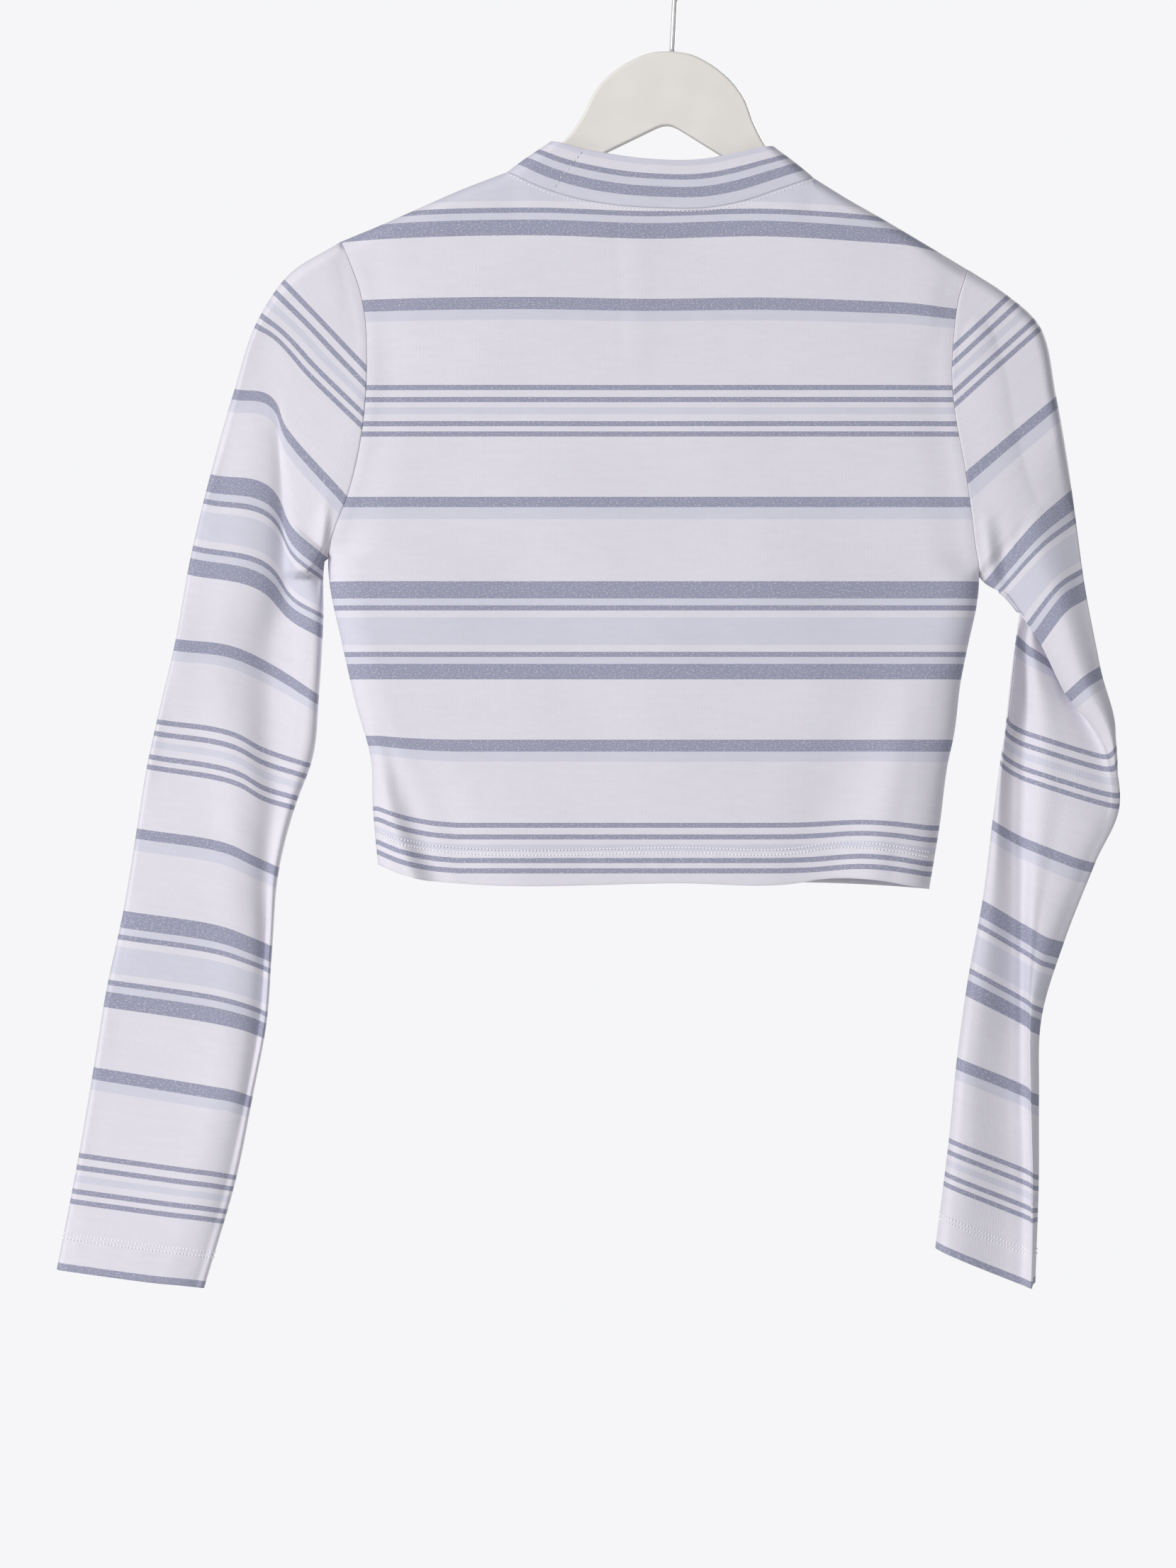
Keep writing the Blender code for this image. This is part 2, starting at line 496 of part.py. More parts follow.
def make_hanger(material):
    """A flat body with rounded edges, cut from its outline and tilted about its top."""
    outline = hanger_outline()
    work = bmesh.new()
    half = HANGER_THICKNESS / 2
    ring = []
    for a, b in outline:
        x = HANGER_TOP[0] + a * math.cos(HANGER_TILT) + b * math.sin(HANGER_TILT)
        z = -HANGER_TOP[1] - a * math.sin(HANGER_TILT) + b * math.cos(HANGER_TILT)
        ring.append(work.verts.new((x * MM, -half * MM, z * MM)))
    face = work.faces.new(ring)
    out = bmesh.ops.extrude_face_region(work, geom=[face])
    moved = [v for v in out["geom"] if isinstance(v, bmesh.types.BMVert)]
    bmesh.ops.translate(work, verts=moved, vec=(0, 2 * half * MM, 0))
    bmesh.ops.recalc_face_normals(work, faces=work.faces)
    rim = [e for e in work.edges if abs(e.verts[0].co.y - e.verts[1].co.y) < 1e-6]
    bmesh.ops.bevel(work, geom=rim, offset=HANGER_EDGE_ROUND * MM, segments=2, profile=0.5,
                    affect="EDGES", clamp_overlap=True)
    bmesh.ops.triangulate(work, faces=work.faces)
    mesh = bpy.data.meshes.new("hanger")
    work.to_mesh(mesh)
    work.free()
    mesh.materials.append(material)
    obj = bpy.data.objects.new("hanger", mesh)
    bpy.context.scene.collection.objects.link(obj)
    return obj


def hook_path():
    """The wire's centre line: a straight stem, an easy bend, then the round hook about its own centre."""
    centre = -(HOOK_RADIUS - HOOK_WIRE / 2)
    angles = np.radians(np.linspace(HOOK_START, HOOK_END, HOOK_STEPS))
    hook = np.stack([HOOK_RADIUS * np.cos(angles), 0 * angles, centre + HOOK_RADIUS * np.sin(angles)], -1)
    foot = np.array([HANGER_TOP[0], 0, -HANGER_TOP[1] + SEAM_GAP * 1.2])
    lean = np.array([math.sin(HANGER_TILT), 0, math.cos(HANGER_TILT)])
    stem = foot + lean * np.array([0, 14.5, 29])[:, None]
    bend = np.linspace(0, 1, 9)[1:-1, None]
    end_slope = np.array([-math.sin(angles[0]), 0, math.cos(angles[0])])
    reach = np.linalg.norm(hook[0] - stem[-1])
    curve = ((2 * bend**3 - 3 * bend**2 + 1) * stem[-1] + (bend**3 - 2 * bend**2 + bend) * reach * lean
             + (3 * bend**2 - 2 * bend**3) * hook[0] + (bend**3 - bend**2) * reach * end_slope)
    return np.concatenate([stem, curve, hook])


def make_hook(material):
    """The wire as a curve with a round section, along the hook's centre line."""
    points = hook_path() * MM
    curve = bpy.data.curves.new("hanger_hook", "CURVE")
    curve.dimensions = "3D"
    curve.bevel_depth = HOOK_WIRE / 2 * MM
    curve.bevel_resolution = 2
    curve.use_fill_caps = True
    spline = curve.splines.new("POLY")
    spline.points.add(len(points) - 1)
    spline.points.foreach_set("co", np.append(points, np.ones((len(points), 1)), axis=1).ravel())
    curve.materials.append(material)
    obj = bpy.data.objects.new("hanger_hook", curve)
    bpy.context.scene.collection.objects.link(obj)
    return obj


def make_material(name, colour, roughness, metallic=0.0):
    material = bpy.data.materials.new(name)
    material.use_nodes = True
    shader = material.node_tree.nodes["Principled BSDF"]
    shader.inputs["Base Color"].default_value = (*colour, 1)
    shader.inputs["Roughness"].default_value = roughness
    shader.inputs["Metallic"].default_value = metallic
    return material


def main():
    for obj in list(bpy.data.objects):
        bpy.data.objects.remove(obj, do_unlink=True)
    back_edge = make_panel(False, make_material("jersey_back", (0.70, 0.69, 0.76), 0.85))
    front_edge = make_panel(True, make_material("jersey_front", (0.70, 0.69, 0.76), 0.85))
    make_collar(back_edge, front_edge, make_material("jersey_collar", (0.55, 0.57, 0.68), 0.85))
    grid, cap = left_sleeve()
    make_sleeve("sleeve_left", grid, cap, False, make_material("jersey_left", (0.70, 0.69, 0.76), 0.85))
    grid, cap = right_sleeve()
    make_sleeve("sleeve_right", grid, cap, True, make_material("jersey_right", (0.70, 0.69, 0.76), 0.85))
    make_hanger(make_material("hanger_plastic", (0.76, 0.73, 0.69), 0.45))
    make_hook(make_material("hook_wire", (0.8, 0.8, 0.8), 0.35, 0.6))


main()
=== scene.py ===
"""Looks for a long-sleeved striped jersey crop top on a flat hanger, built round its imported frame.

Everything is worked out in millimetres, in the frame of the CAD model: the origin is where the hook
hangs, +Z is up, +X runs towards the wearer's right sleeve and the back faces -Y. Outlines are given as
(x, drop), where drop is the distance below the origin. Every piece of cloth is one sheet on a grid of
two parameters, given its thickness by Solidify, and its UV map holds the place on the cloth in metres:
U across the fabric and V along the stripe repeat, so that stripes, wales and flecks follow the cloth.
"""
import math
from functools import partial

import bpy
import numpy as np
from bpy.props import FloatProperty, FloatVectorProperty, PointerProperty
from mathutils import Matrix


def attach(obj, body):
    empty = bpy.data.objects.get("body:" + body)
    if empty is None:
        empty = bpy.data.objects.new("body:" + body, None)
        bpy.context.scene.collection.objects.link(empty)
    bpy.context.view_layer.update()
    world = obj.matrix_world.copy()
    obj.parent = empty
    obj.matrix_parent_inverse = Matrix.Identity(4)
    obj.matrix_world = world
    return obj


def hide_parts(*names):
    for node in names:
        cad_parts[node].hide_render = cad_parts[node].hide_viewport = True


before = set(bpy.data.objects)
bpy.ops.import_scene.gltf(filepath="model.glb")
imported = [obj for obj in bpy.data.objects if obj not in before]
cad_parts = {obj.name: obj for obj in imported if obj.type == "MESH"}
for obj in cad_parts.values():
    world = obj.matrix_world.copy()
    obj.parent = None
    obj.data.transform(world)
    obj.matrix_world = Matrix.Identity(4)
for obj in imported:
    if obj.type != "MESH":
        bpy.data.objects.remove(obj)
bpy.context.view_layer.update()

bl_info = {
    "name": "Striped crop top",
    "version": (1, 0, 0),
    "blender": (4, 5, 0),
    "location": "3D View > Sidebar > Crop top",
    "description": "Makes the cloth, stitching and hanger of a striped jersey crop top",
    "category": "Object",
}

MM = 0.001
GAP = 0.1                   # half the gap between two pieces sewn together
SEAM = 0.05                 # sideways, at the armhole seams
CLOTH = 1.0                 # thickness of the jersey with its turned edges
STRIPES = 0.2574            # metres in one repeat of the stripes
V_START = 4 * STRIPES       # whole repeats added, so that V stays above zero
BODY_START = 213.8          # drop at which the body's repeat starts
SLEEVE_START = 10.3         # the sleeves' repeat has already run this far at the shoulder point

# Body outline, from the shoulder point down to the hem.
LEFT_SIDE = [(-198, 179.5), (-192.6, 193), (-187.4, 207), (-184.2, 222), (-182.8, 245), (-183.3, 268),
             (-187.4, 302), (-194.5, 330), (-201.2, 347), (-205, 360), (-205.7, 368), (-204.8, 380),
             (-198.4, 411), (-189.5, 450), (-180.6, 483), (-179.6, 510), (-176.6, 544)]
RIGHT_SIDE = [(168.7, 196), (163.3, 212), (159.9, 238), (159, 260), (160.8, 280), (166.6, 312),
              (170.7, 341), (172.7, 358), (175.2, 373), (175.3, 380), (174.2, 391), (169.3, 414),
              (165, 435), (160.4, 470), (157.5, 483), (152.5, 520), (146.2, 558.5)]
LEFT_SHOULDER = [(-198, 179.5), (-174.5, 169.7), (-151, 159.3), (-128, 149.2), (-101, 138.8)]
RIGHT_SHOULDER = [(79, 142.5), (98, 154.3), (117, 165.1), (145, 181.7), (168.7, 196)]
BACK_NECK = [(-101, 138.8), (-84, 147.2), (-62, 154.5), (-40, 158.6), (-12, 160.6), (17, 160.4),
             (38, 156.4), (59, 149.3), (79, 142.5)]
NECK_LEFT, NECK_RIGHT = BACK_NECK[0], BACK_NECK[-1]
FRONT_NECK_DROP = 207
NECK_LEVEL = 140.5          # about halfway between the neck's two corners
NECK_CURVE = 2.3, 0.75      # the powers that shape the front neckline
BACK_HEM = [(-176.6, 544), (-164, 549.2), (-147, 553.3), (-130, 555), (0, 555), (68, 555), (82, 552.7),
            (95, 551.9), (107, 552.4), (146.2, 558.5)]
FRONT_HEM = [(-176.6, 544), (-150, 551), (-20, 554.5), (110, 556), (146.2, 558.5)]
LEFT_UNDERARM, RIGHT_UNDERARM = 365, 376
FRONT_ARMHOLE_SCOOP = 7
BACK_DEPTH = [(140, 10.5), (200, 11.5), (300, 12.5), (420, 13.5), (560, 16)]
FRONT_DEPTH = [(140, 10.5), (210, 12), (300, 14), (420, 15), (560, 19)]
SIDE_ROUND, SHOULDER_ROUND, NECK_ROUND = 20, 7, 9
ARMHOLE_SHARE, ARMHOLE_TOP, ARMHOLE_BOTTOM = 0.84, 0.05, 0.15
HEM, CUFF_HEM = 19.5, 20.5      # from the edge up to the middle of the twin rows of stitching
TWIN = 1.45                     # from that middle to each row
SLEEVE_END = 624.4

# Cloth length along a sleeve where each drop on the armhole lies.
LEFT_CAP = [(179.5, 0), (251.8, 39.3), (286.3, 66.8), (329, 105.3), (365, 154.5)]
RIGHT_CAP = [(196, 12.7), (239.4, 39.3), (273.8, 66.8), (314.5, 105.3), (376, 150)]

# Left sleeve: cloth length, half depth, outer edge, the two sides of the long trough, inner edge.
LEFT_SLEEVE = [
    (0, 11, (-198.3, 179.5), (-198.3, 179.5), (-198.3, 179.5), (-198.3, 179.5)),
    (39.3, 11, (-231, 201.2), (-204.5, 229), (-197.3, 236.6), (-183.1, 251.8)),
    (66.8, 11, (-247.6, 226.9), (-228, 242.5), (-216.5, 255.6), (-185.6, 286.3)),
    (105.3, 10.5, (-260.5, 265.9), (-235, 275.5), (-229.5, 289), (-194.4, 329)),
    (154.5, 10, (-274.6, 315.7), (-235, 328.6), (-227.7, 345), (-207.4, 365)),
    (202, 10, (-286.2, 363.9), (-238, 378), (-228.7, 391), (-208.6, 403.3)),
    (247, 9.5, (-294.9, 412), (-252, 420), (-236, 428.5), (-211.1, 444.8)),
    (296.8, 9, (-305.7, 458.5), (-257, 467.6), (-244.3, 474.7), (-215.6, 484.6)),
    (324.3, 9, (-311.5, 485.1), (-256, 496.3), (-244.3, 503.3), (-224.8, 509.5)),
    (363, 8.5, (-317.7, 523.2), (-261.3, 533.2), (-249.7, 539), (-234.3, 546.1)),
    (412, 8.5, (-325.6, 571), (-264, 581.3), (-251.3, 586.3), (-238.4, 592)),
    (460, 8, (-335.6, 618), (-268, 628.3), (-255.5, 631.5), (-241.8, 637)),
    (505, 8, (-343, 663), (-275, 674), (-263, 676), (-250, 680.5)),
    (554.2, 7.5, (-351.3, 712), (-287, 721), (-275, 722.5), (-259, 725.5)),
    (624.4, 7, (-364.6, 781), (-305, 789), (-294, 790), (-278.3, 792)),
]
LEFT_PLACES = (0, 0.55, 0.72, 1)
LEFT_WIDTH, RIGHT_ROUND = 0.092, 0.19   # metres of U across the left sleeve laid flat, and round the right

# Right sleeve: cloth length, then (x, y, drop) of the outer fold, the middle of the flap, the underarm
# seam, the layer just under it, the long crease, the left edge and the middle of the rear.
RIGHT_SLEEVE = [
    (12.7, (169, 0, 196), (169, 0, 196), (169, 0, 196), (169, 0, 196), (169, 0, 196), (169, 0, 196),
     (169, 0, 196)),
    (39.3, (191.1, 0, 210.3), (176, -10.5, 224.5), (160.2, -9, 239.4), (160.2, 9, 239.4),
     (167, 10.5, 233), (173, 10.5, 227), (182, 9.5, 218.7)),
    (66.8, (210.6, 0, 228.6), (186, -11, 250.4), (160.7, -9, 273.8), (158, 9, 273.8),
     (172, 11, 262), (183, 11, 252), (197, 10, 240)),
    (105.3, (220.5, 0, 270.1), (194, -11, 292), (166.9, -7, 314.5), (162, 7, 314.5),
     (179, 10, 303), (191, 11, 293), (207, 10, 281)),
    (150, (228.8, 0, 319.5), (205, -12, 341), (175.9, 0, 376), (177.5, 2, 374),
     (189, 8, 358), (196, 10, 346), (213, 11, 332)),
    (175, (232.5, -3, 348), (212, -13, 363), (190, -8, 387), (192.5, -3.5, 384),
     (198, 2, 370), (201, 6, 358), (217, 12, 352)),
    (202, (236.3, -5, 377.6), (222, -13, 387), (206.4, -11, 407.9), (206.5, -4, 400),
     (206, -3, 388), (201.5, 1.5, 378), (219, 13, 376)),
    (247, (245.8, -6, 428.2), (236, -12.5, 434), (225.1, -12, 444), (221, -4.5, 432),
     (203.5, -6.5, 415.3), (198.1, 0, 409.5), (221, 14, 418)),
    (296.8, (255, -2, 472), (253.8, -8, 475.5), (249.6, -9, 479.2), (246, -8, 478.8),
     (203.5, -7.5, 465.5), (192.7, 0, 456.4), (222, 15, 464)),
    (324.3, (249, 9, 500), (256.5, 0, 505), (252.5, -8, 508), (246, -9.5, 506.5),
     (203.1, -8, 492.9), (188.2, 0, 482.1), (218, 16, 491)),
    (363, (232, 11, 538), (242, 0, 542), (238.5, -7.5, 542.5), (233, -9.5, 541),
     (202, -8, 529), (183.2, 0, 518.3), (207, 16, 530)),
    (412, (214, 11, 584), (223.9, 0, 589), (221, -7, 588.6), (216.5, -9.5, 587.4),
     (201.2, -7, 579), (177.4, 0, 565.1), (196, 16, 577)),
    (460, (202, 11, 628), (211, 0, 634.5), (209, -7, 633.8), (206.5, -9, 632.8),
     (200.8, -7, 628.5), (169.1, 0, 611.6), (186, 16, 620)),
    (505, (200, 11, 672), (209.6, 0, 679), (208, -7, 678.5), (206, -9, 677.8),
     (201, -7.5, 673.5), (162.8, 0, 657.7), (182, 16, 665)),
    (554.2, (200, 11, 718), (209.5, 0, 725), (208.3, -7, 724.8), (206.8, -9, 724.4),
     (202.3, -8, 721.5), (158.3, 0, 703.8), (180, 16, 711)),
    (624.4, (198, 11, 786), (207.5, 0, 788), (206.6, -7, 789.5), (205.4, -9, 790.6),
     (201.5, -8.5, 790.5), (150.4, 0, 769), (174, 16, 775)),
]
RIGHT_PLACES = (0, 0.5, 1, 1.12, 1.5, 2, 2.5, 3)

BACK_COLLAR_TOP = [(-74.8, 120.5), (-62.5, 124.4), (-44.2, 128.2), (-20, 131.6), (15, 131.6),
                   (27, 129.4), (54.6, 123.4)]
FRONT_COLLAR_DROP = 179.5
COLLAR_WALL = 1.8
COLLAR_JOIN = -75           # x of the band's join, on the back
FOLD_START = 0.97           # share of the band's height where its top fold begins to turn

HANGER_TILT = math.radians(3.0)
HANGER_TOP = (-4.5, 68.4)
HANGER_THICKNESS, HANGER_EDGE = 10, 1.6
HANGER_UPPER = [(0, 0), (10.7, 1.1), (23.3, 6.5), (36, 16), (43.3, 25), (50.2, 40.2), (57.8, 52.6),
                (72, 65.5), (87.5, 77), (213, 145.5)]
HANGER_LOWER = [(0, 41.5), (34.5, 60.6), (204, 158.5)]
HOOK_WIRE, HOOK_RADIUS = 3.0, 18
HOOK_START, HOOK_END = -62, 205
HOOK_STEM = 29

# Stitches, in millimetres: spacing, length, width and how far they stand proud.
HEM_STITCH = 2.0, 1.35, 0.85, 0.35
NECK_STITCH = 2.4, 1.7, 0.5, 0.2
JOIN_STITCH = 1.7, 0.42, 0.15   # these nine have no spacing of their own

VIEW_CENTRE, VIEW_HEIGHT = (-0.0536, 0.0, -0.497), 0.918   # metres
FLOOR_DROP, FLOOR_RADII = 1300, (1, 500, 1000, 1550)

# Stripe repeat downwards: millimetres from the top of the medium stripe, and what starts there.
REPEAT = [(0, "slate"), (6.4, "pale"), (12.9, "white"), (49.6, "slate"), (52.8, "white"),
          (56.7, "slate"), (59.6, "white"), (63.0, "pale"), (66.7, "white"), (70.4, "slate"),
          (73.6, "white"), (77.1, "slate"), (80.2, "white"), (115.6, "slate"), (121.5, "pale"),
          (127.7, "white"), (164.8, "slate"), (174.5, "pale"), (178.6, "slate"), (181.8, "white"),
          (185.9, "pale"), (201.4, "white"), (205.4, "slate"), (208.6, "pale"), (212.4, "slate"),
          (222.1, "white")]
COLLAR_HEIGHT = 27.4
COLLAR_BANDS = [(0, "pale"), (2.6, "white"), (7.5, "slate"), (10.6, "pale"), (14.9, "slate"),
                (20.9, "pale")]


def smooth(at, knots, values):
    """Cubic Hermite curve through the values, whose slope at a knot is that between its neighbours."""
    knots = np.asarray(knots, float)
    values = np.asarray(values, float)
    at = np.clip(np.asarray(at, float), knots[0], knots[-1])
    slopes = np.gradient(values, knots, axis=0)
    left = np.clip(np.searchsorted(knots, at, side="right") - 1, 0, len(knots) - 2)
    span = knots[left + 1] - knots[left]
    t = (at - knots[left]) / span
    extra = (None,) * (values.ndim - 1)
    t, span = t[(...,) + extra], span[(...,) + extra]
    return ((2 * t**3 - 3 * t**2 + 1) * values[left] + (t**3 - 2 * t**2 + t) * span * slopes[left]
            + (3 * t**2 - 2 * t**3) * values[left + 1] + (t**3 - t**2) * span * slopes[left + 1])


def along(points, at, by=1):
    """Reads an outline at given drops (by=1, giving x) or at given x (by=0, giving the drop)."""
    table = np.array(points, float)
    return smooth(at, table[:, by], table[:, 1 - by])


def rounding(share):
    """A quarter circle's rise: 0 at the edge, 1 from the reach inwards."""
    return np.sqrt(1 - (1 - np.clip(share, 0, 1)) ** 2)


def step(x, low, high):
    """Smooth step: 0 up to low, 1 from high on."""
    t = np.clip((x - low) / (high - low), 0, 1)
    return t * t * (3 - 2 * t)


def hill(x, centre, width):
    """Bell curve of height 1."""
    return np.exp(-((x - centre) / width) ** 2)


def half_depth(drop, front):
    """How deep a panel lies at a drop, away from its edges."""
    return along(FRONT_DEPTH if front else BACK_DEPTH, drop, by=0)


def share_at(x):
    """Share of the way from the left shoulder point to the right one."""
    return (x - LEFT_SIDE[0][0]) / (RIGHT_SIDE[0][0] - LEFT_SIDE[0][0])


def armhole_share(rows):
    """Share of the body's depth along the armhole: none at the shoulder point and at the underarm."""
    return ARMHOLE_SHARE * rounding(rows / ARMHOLE_TOP) * rounding((1 - rows) / ARMHOLE_BOTTOM)


def armhole(rows, right, front):
    """The body's armhole edge: its x, y and drop at shares of the way from the shoulder to the underarm."""
    side = RIGHT_SIDE if right else LEFT_SIDE
    start, end = side[0][1], RIGHT_UNDERARM if right else LEFT_UNDERARM
    drop = start + rows * (end - start)
    x = along(side, drop)
    if front:
        x = x - FRONT_ARMHOLE_SCOOP * (1 if right else -1) * np.sin(math.pi * np.clip(rows, 0, 1))
    depth = half_depth(drop, front) * armhole_share(rows) * rounding((drop - start) / SHOULDER_ROUND)
    return x, (GAP + depth) * (1 if front else -1), drop


def neck_dip(place):
    """The front neckline's dip at shares across the neck: 0 at both corners, 1 in the middle."""
    inner, outer = NECK_CURVE
    return (1 - np.abs(2 * place - 1) ** inner) ** outer


def top_drop(x, front):
    """The drop of a panel's upper edge at x: shoulder, neck and shoulder."""
    if front:
        place = np.clip((x - NECK_LEFT[0]) / (NECK_RIGHT[0] - NECK_LEFT[0]), 0, 1)
        line = NECK_LEFT[1] + place * (NECK_RIGHT[1] - NECK_LEFT[1])
        neck = line + (FRONT_NECK_DROP - NECK_LEVEL) * neck_dip(place)
    else:
        neck = along(BACK_NECK, x, by=0)
    left, right = along(LEFT_SHOULDER, x, by=0), along(RIGHT_SHOULDER, x, by=0)
    return np.where(x < NECK_LEFT[0], left, np.where(x > NECK_RIGHT[0], right, neck))


def back_relief(x, drop):
    """Soft folds of the back, in millimetres outwards: each is a bell across its own sloping line."""
    lower = step(drop, 400, 500)
    ridge_x = 143 - 0.21 * (drop - 403)
    relief = 2.5 * lower * hill(x, ridge_x, 12) - 2.2 * lower * hill(x, ridge_x - 32, 20)
    fold_x = -178 + 0.38 * (drop - 483)
    low_left = step(drop, 445, 500)
    relief += low_left * (2.0 * hill(x, fold_x - 3, 5) - 3.6 * hill(x, fold_x + 9, 8))
    relief -= low_left * 2.0 * hill(x, fold_x + 25, 15)
    relief += 0.9 * step(drop, 470, 540) * hill(x, -92, 22)
    pressed = step(drop, 158, 170) * step(-drop, -262, -225)
    relief -= 0.3 * hill(x, -34 - 3 * hill(drop, 165, 25), 1.5) * pressed
    relief += 0.5 * hill(x, -25, 9) * step(drop, 165, 190) * step(-drop, -270, -225)
    # The cloth falls in softly below the hanger's two arms.
    arm = 1 - step(drop, 146 + 0.44 * np.abs(x + 12), 176 + 0.47 * np.abs(x + 12))
    relief += 1.2 * (arm - 0.5)
    relief += 0.9 * hill(x, 150, 14) * hill(drop, 215, 26)
    relief += 0.35 * np.sin(x / 31 + drop / 58 + 0.6) + 0.25 * np.sin(x / 17 - drop / 37 + 2.0)
    relief += 0.22 * np.sin(drop / 24 + x / 90 + 1.0) * step(drop, 200, 300)
    return relief


def front_relief(x, drop):
    """Soft folds of the front: the same kinds as the back's, on other lines."""
    lower = step(drop, 400, 500)
    relief = 2.2 * lower * hill(x, -120 + 0.05 * (drop - 400), 17)
    relief -= 2.0 * lower * hill(x, -86, 20) + 1.8 * lower * hill(x, 104, 18)
    relief += 1.6 * lower * hill(x, 132, 14)
    relief += 0.5 * np.sin(x / 34 - drop / 49 + 1.3) + 0.3 * np.sin(x / 19 + drop / 41)
    relief += 1.3 * hill(drop, 232 - 0.0011 * (x + 11) ** 2, 14) * hill(x, -11, 75)
    return relief


def body_surface(rows, share, front):
    """The back or front panel at rows (0 at the top edge, 1 at the underarm, 2 at the hem) and shares across.

    x and drop run in straight lines between the two sides, stretched to meet the upper edge and the hem;
    the depth is a rounded section times the body's half depth, and the relief is added where it is full.
    Returns the points and the drop at which the stripes are read.
    """
    rows, share = np.broadcast_arrays(np.asarray(rows, float), np.asarray(share, float))
    in_cap = rows <= 1
    cap_rows, below = np.clip(rows, 0, 1), np.clip(rows - 1, 0, 1)
    ends = []
    for right in (False, True):
        side = RIGHT_SIDE if right else LEFT_SIDE
        underarm = RIGHT_UNDERARM if right else LEFT_UNDERARM
        x, _, drop = armhole(cap_rows, right, front)
        lower = underarm + below * (side[-1][1] - underarm)
        ends.append((np.where(in_cap, x, along(side, lower)), np.where(in_cap, drop, lower)))
    (left_x, left_drop), (right_x, right_drop) = ends
    x = left_x + share * (right_x - left_x)
    level = left_drop + share * (right_drop - left_drop)
    top_x = LEFT_SIDE[0][0] + share * (RIGHT_SIDE[0][0] - LEFT_SIDE[0][0])
    top = top_drop(top_x, front)
    top_level = LEFT_SIDE[0][1] + share * (RIGHT_SIDE[0][1] - LEFT_SIDE[0][1])
    hem_x = LEFT_SIDE[-1][0] + share * (RIGHT_SIDE[-1][0] - LEFT_SIDE[-1][0])
    hem_level = LEFT_SIDE[-1][1] + share * (RIGHT_SIDE[-1][1] - LEFT_SIDE[-1][1])
    fall = along(FRONT_HEM if front else BACK_HEM, hem_x, by=0) - hem_level
    drop = level + (top - top_level) * (1 - cap_rows) + fall * below**2
    from_side = np.minimum(x - left_x, right_x - x)
    kept = armhole_share(cap_rows) * in_cap
    turned = rounding(from_side / SIDE_ROUND)
    turned = turned + step(kept, 0.2, 0.6) * (step(from_side, -4, SIDE_ROUND * 1.5) - turned)
    across = kept + (1 - kept) * turned
    corner = np.where(top_x < 0, NECK_LEFT[1], NECK_RIGHT[1])
    from_neck = np.minimum(top_x - NECK_LEFT[0], NECK_RIGHT[0] - top_x)
    from_neck = np.where(from_neck > 0, np.hypot(from_neck, top - corner), 0) / NECK_ROUND
    lift = 1 - (1 - rounding((drop - top) / SHOULDER_ROUND)) * (1 - rounding(from_neck))
    # The relief fades out at the edges, and round the neck's corners down to the neck's lowest point.
    free = step(from_side, 0, 16) * step(drop - top, 0, 14)
    from_corner = np.minimum(np.abs(top_x - NECK_LEFT[0]), np.abs(top_x - NECK_RIGHT[0]))
    deepest = FRONT_NECK_DROP if front else BACK_NECK[4][1]
    free = free * (1 - (1 - step(from_corner, 0, 14)) * (1 - step(drop, deepest, deepest + 14)))
    relief = (front_relief if front else back_relief)(x, drop) * free
    # The seam allowance inside pads the cloth beside each armhole, and the hem is a little thicker.
    seam = in_cap * step(cap_rows, 0, 0.08)
    relief += seam * (0.2 * hill(from_side, 4.5, 3) - 0.15 * hill(from_side, 0, 1.3))
    above_hem = (1 - below) * (hem_level + fall - (LEFT_UNDERARM + RIGHT_UNDERARM) / 2)
    relief += hem_relief(above_hem, x, HEM) * step(from_side, 0, 6)
    y = GAP + half_depth(drop, front) * across * lift + relief
    y = np.maximum(y, GAP)
    return np.stack([x, y if front else -y, -drop], axis=-1), drop


def hem_relief(above, around, hem):
    """A turned hem: proud below its stitching, drawn in along the two rows, with slight puckers."""
    inside = step(-above, -hem - 1.2, -hem + 1.2)
    pucker = np.sin(around / 2.9 + 1.7 * np.sin(around / 23.0)) * hill(above, hem - 6, 6.5)
    rows = hill(above, hem + TWIN, 1.1) + hill(above, hem - TWIN, 1.1)
    return 0.32 * inside + 0.14 * pucker - 0.35 * rows


def body_shift(x, drop):
    """How much higher than its level a stripe of the back lies at (x, drop)."""
    high = np.clip((265 - drop) / 85, 0, 1.1)
    shift = high * smooth(x, (-205, -147, -82, -21, 52, 106, 136, 157, 175),
                          (-2.0, 0.8, 1.8, 0, 1.2, -1.8, -4.6, -9.5, -13.5))
    low = step(drop, 470, 545)
    shift += low * (2.4 + 2.6 * hill(x, 106, 24) - 2.4 * hill(x, 150, 16))
    rise = BACK_HEM[4][1] - along(BACK_HEM, x, by=0)
    return shift + step(drop, 445, 525) * np.where(x < BACK_HEM[3][0], rise, 0)


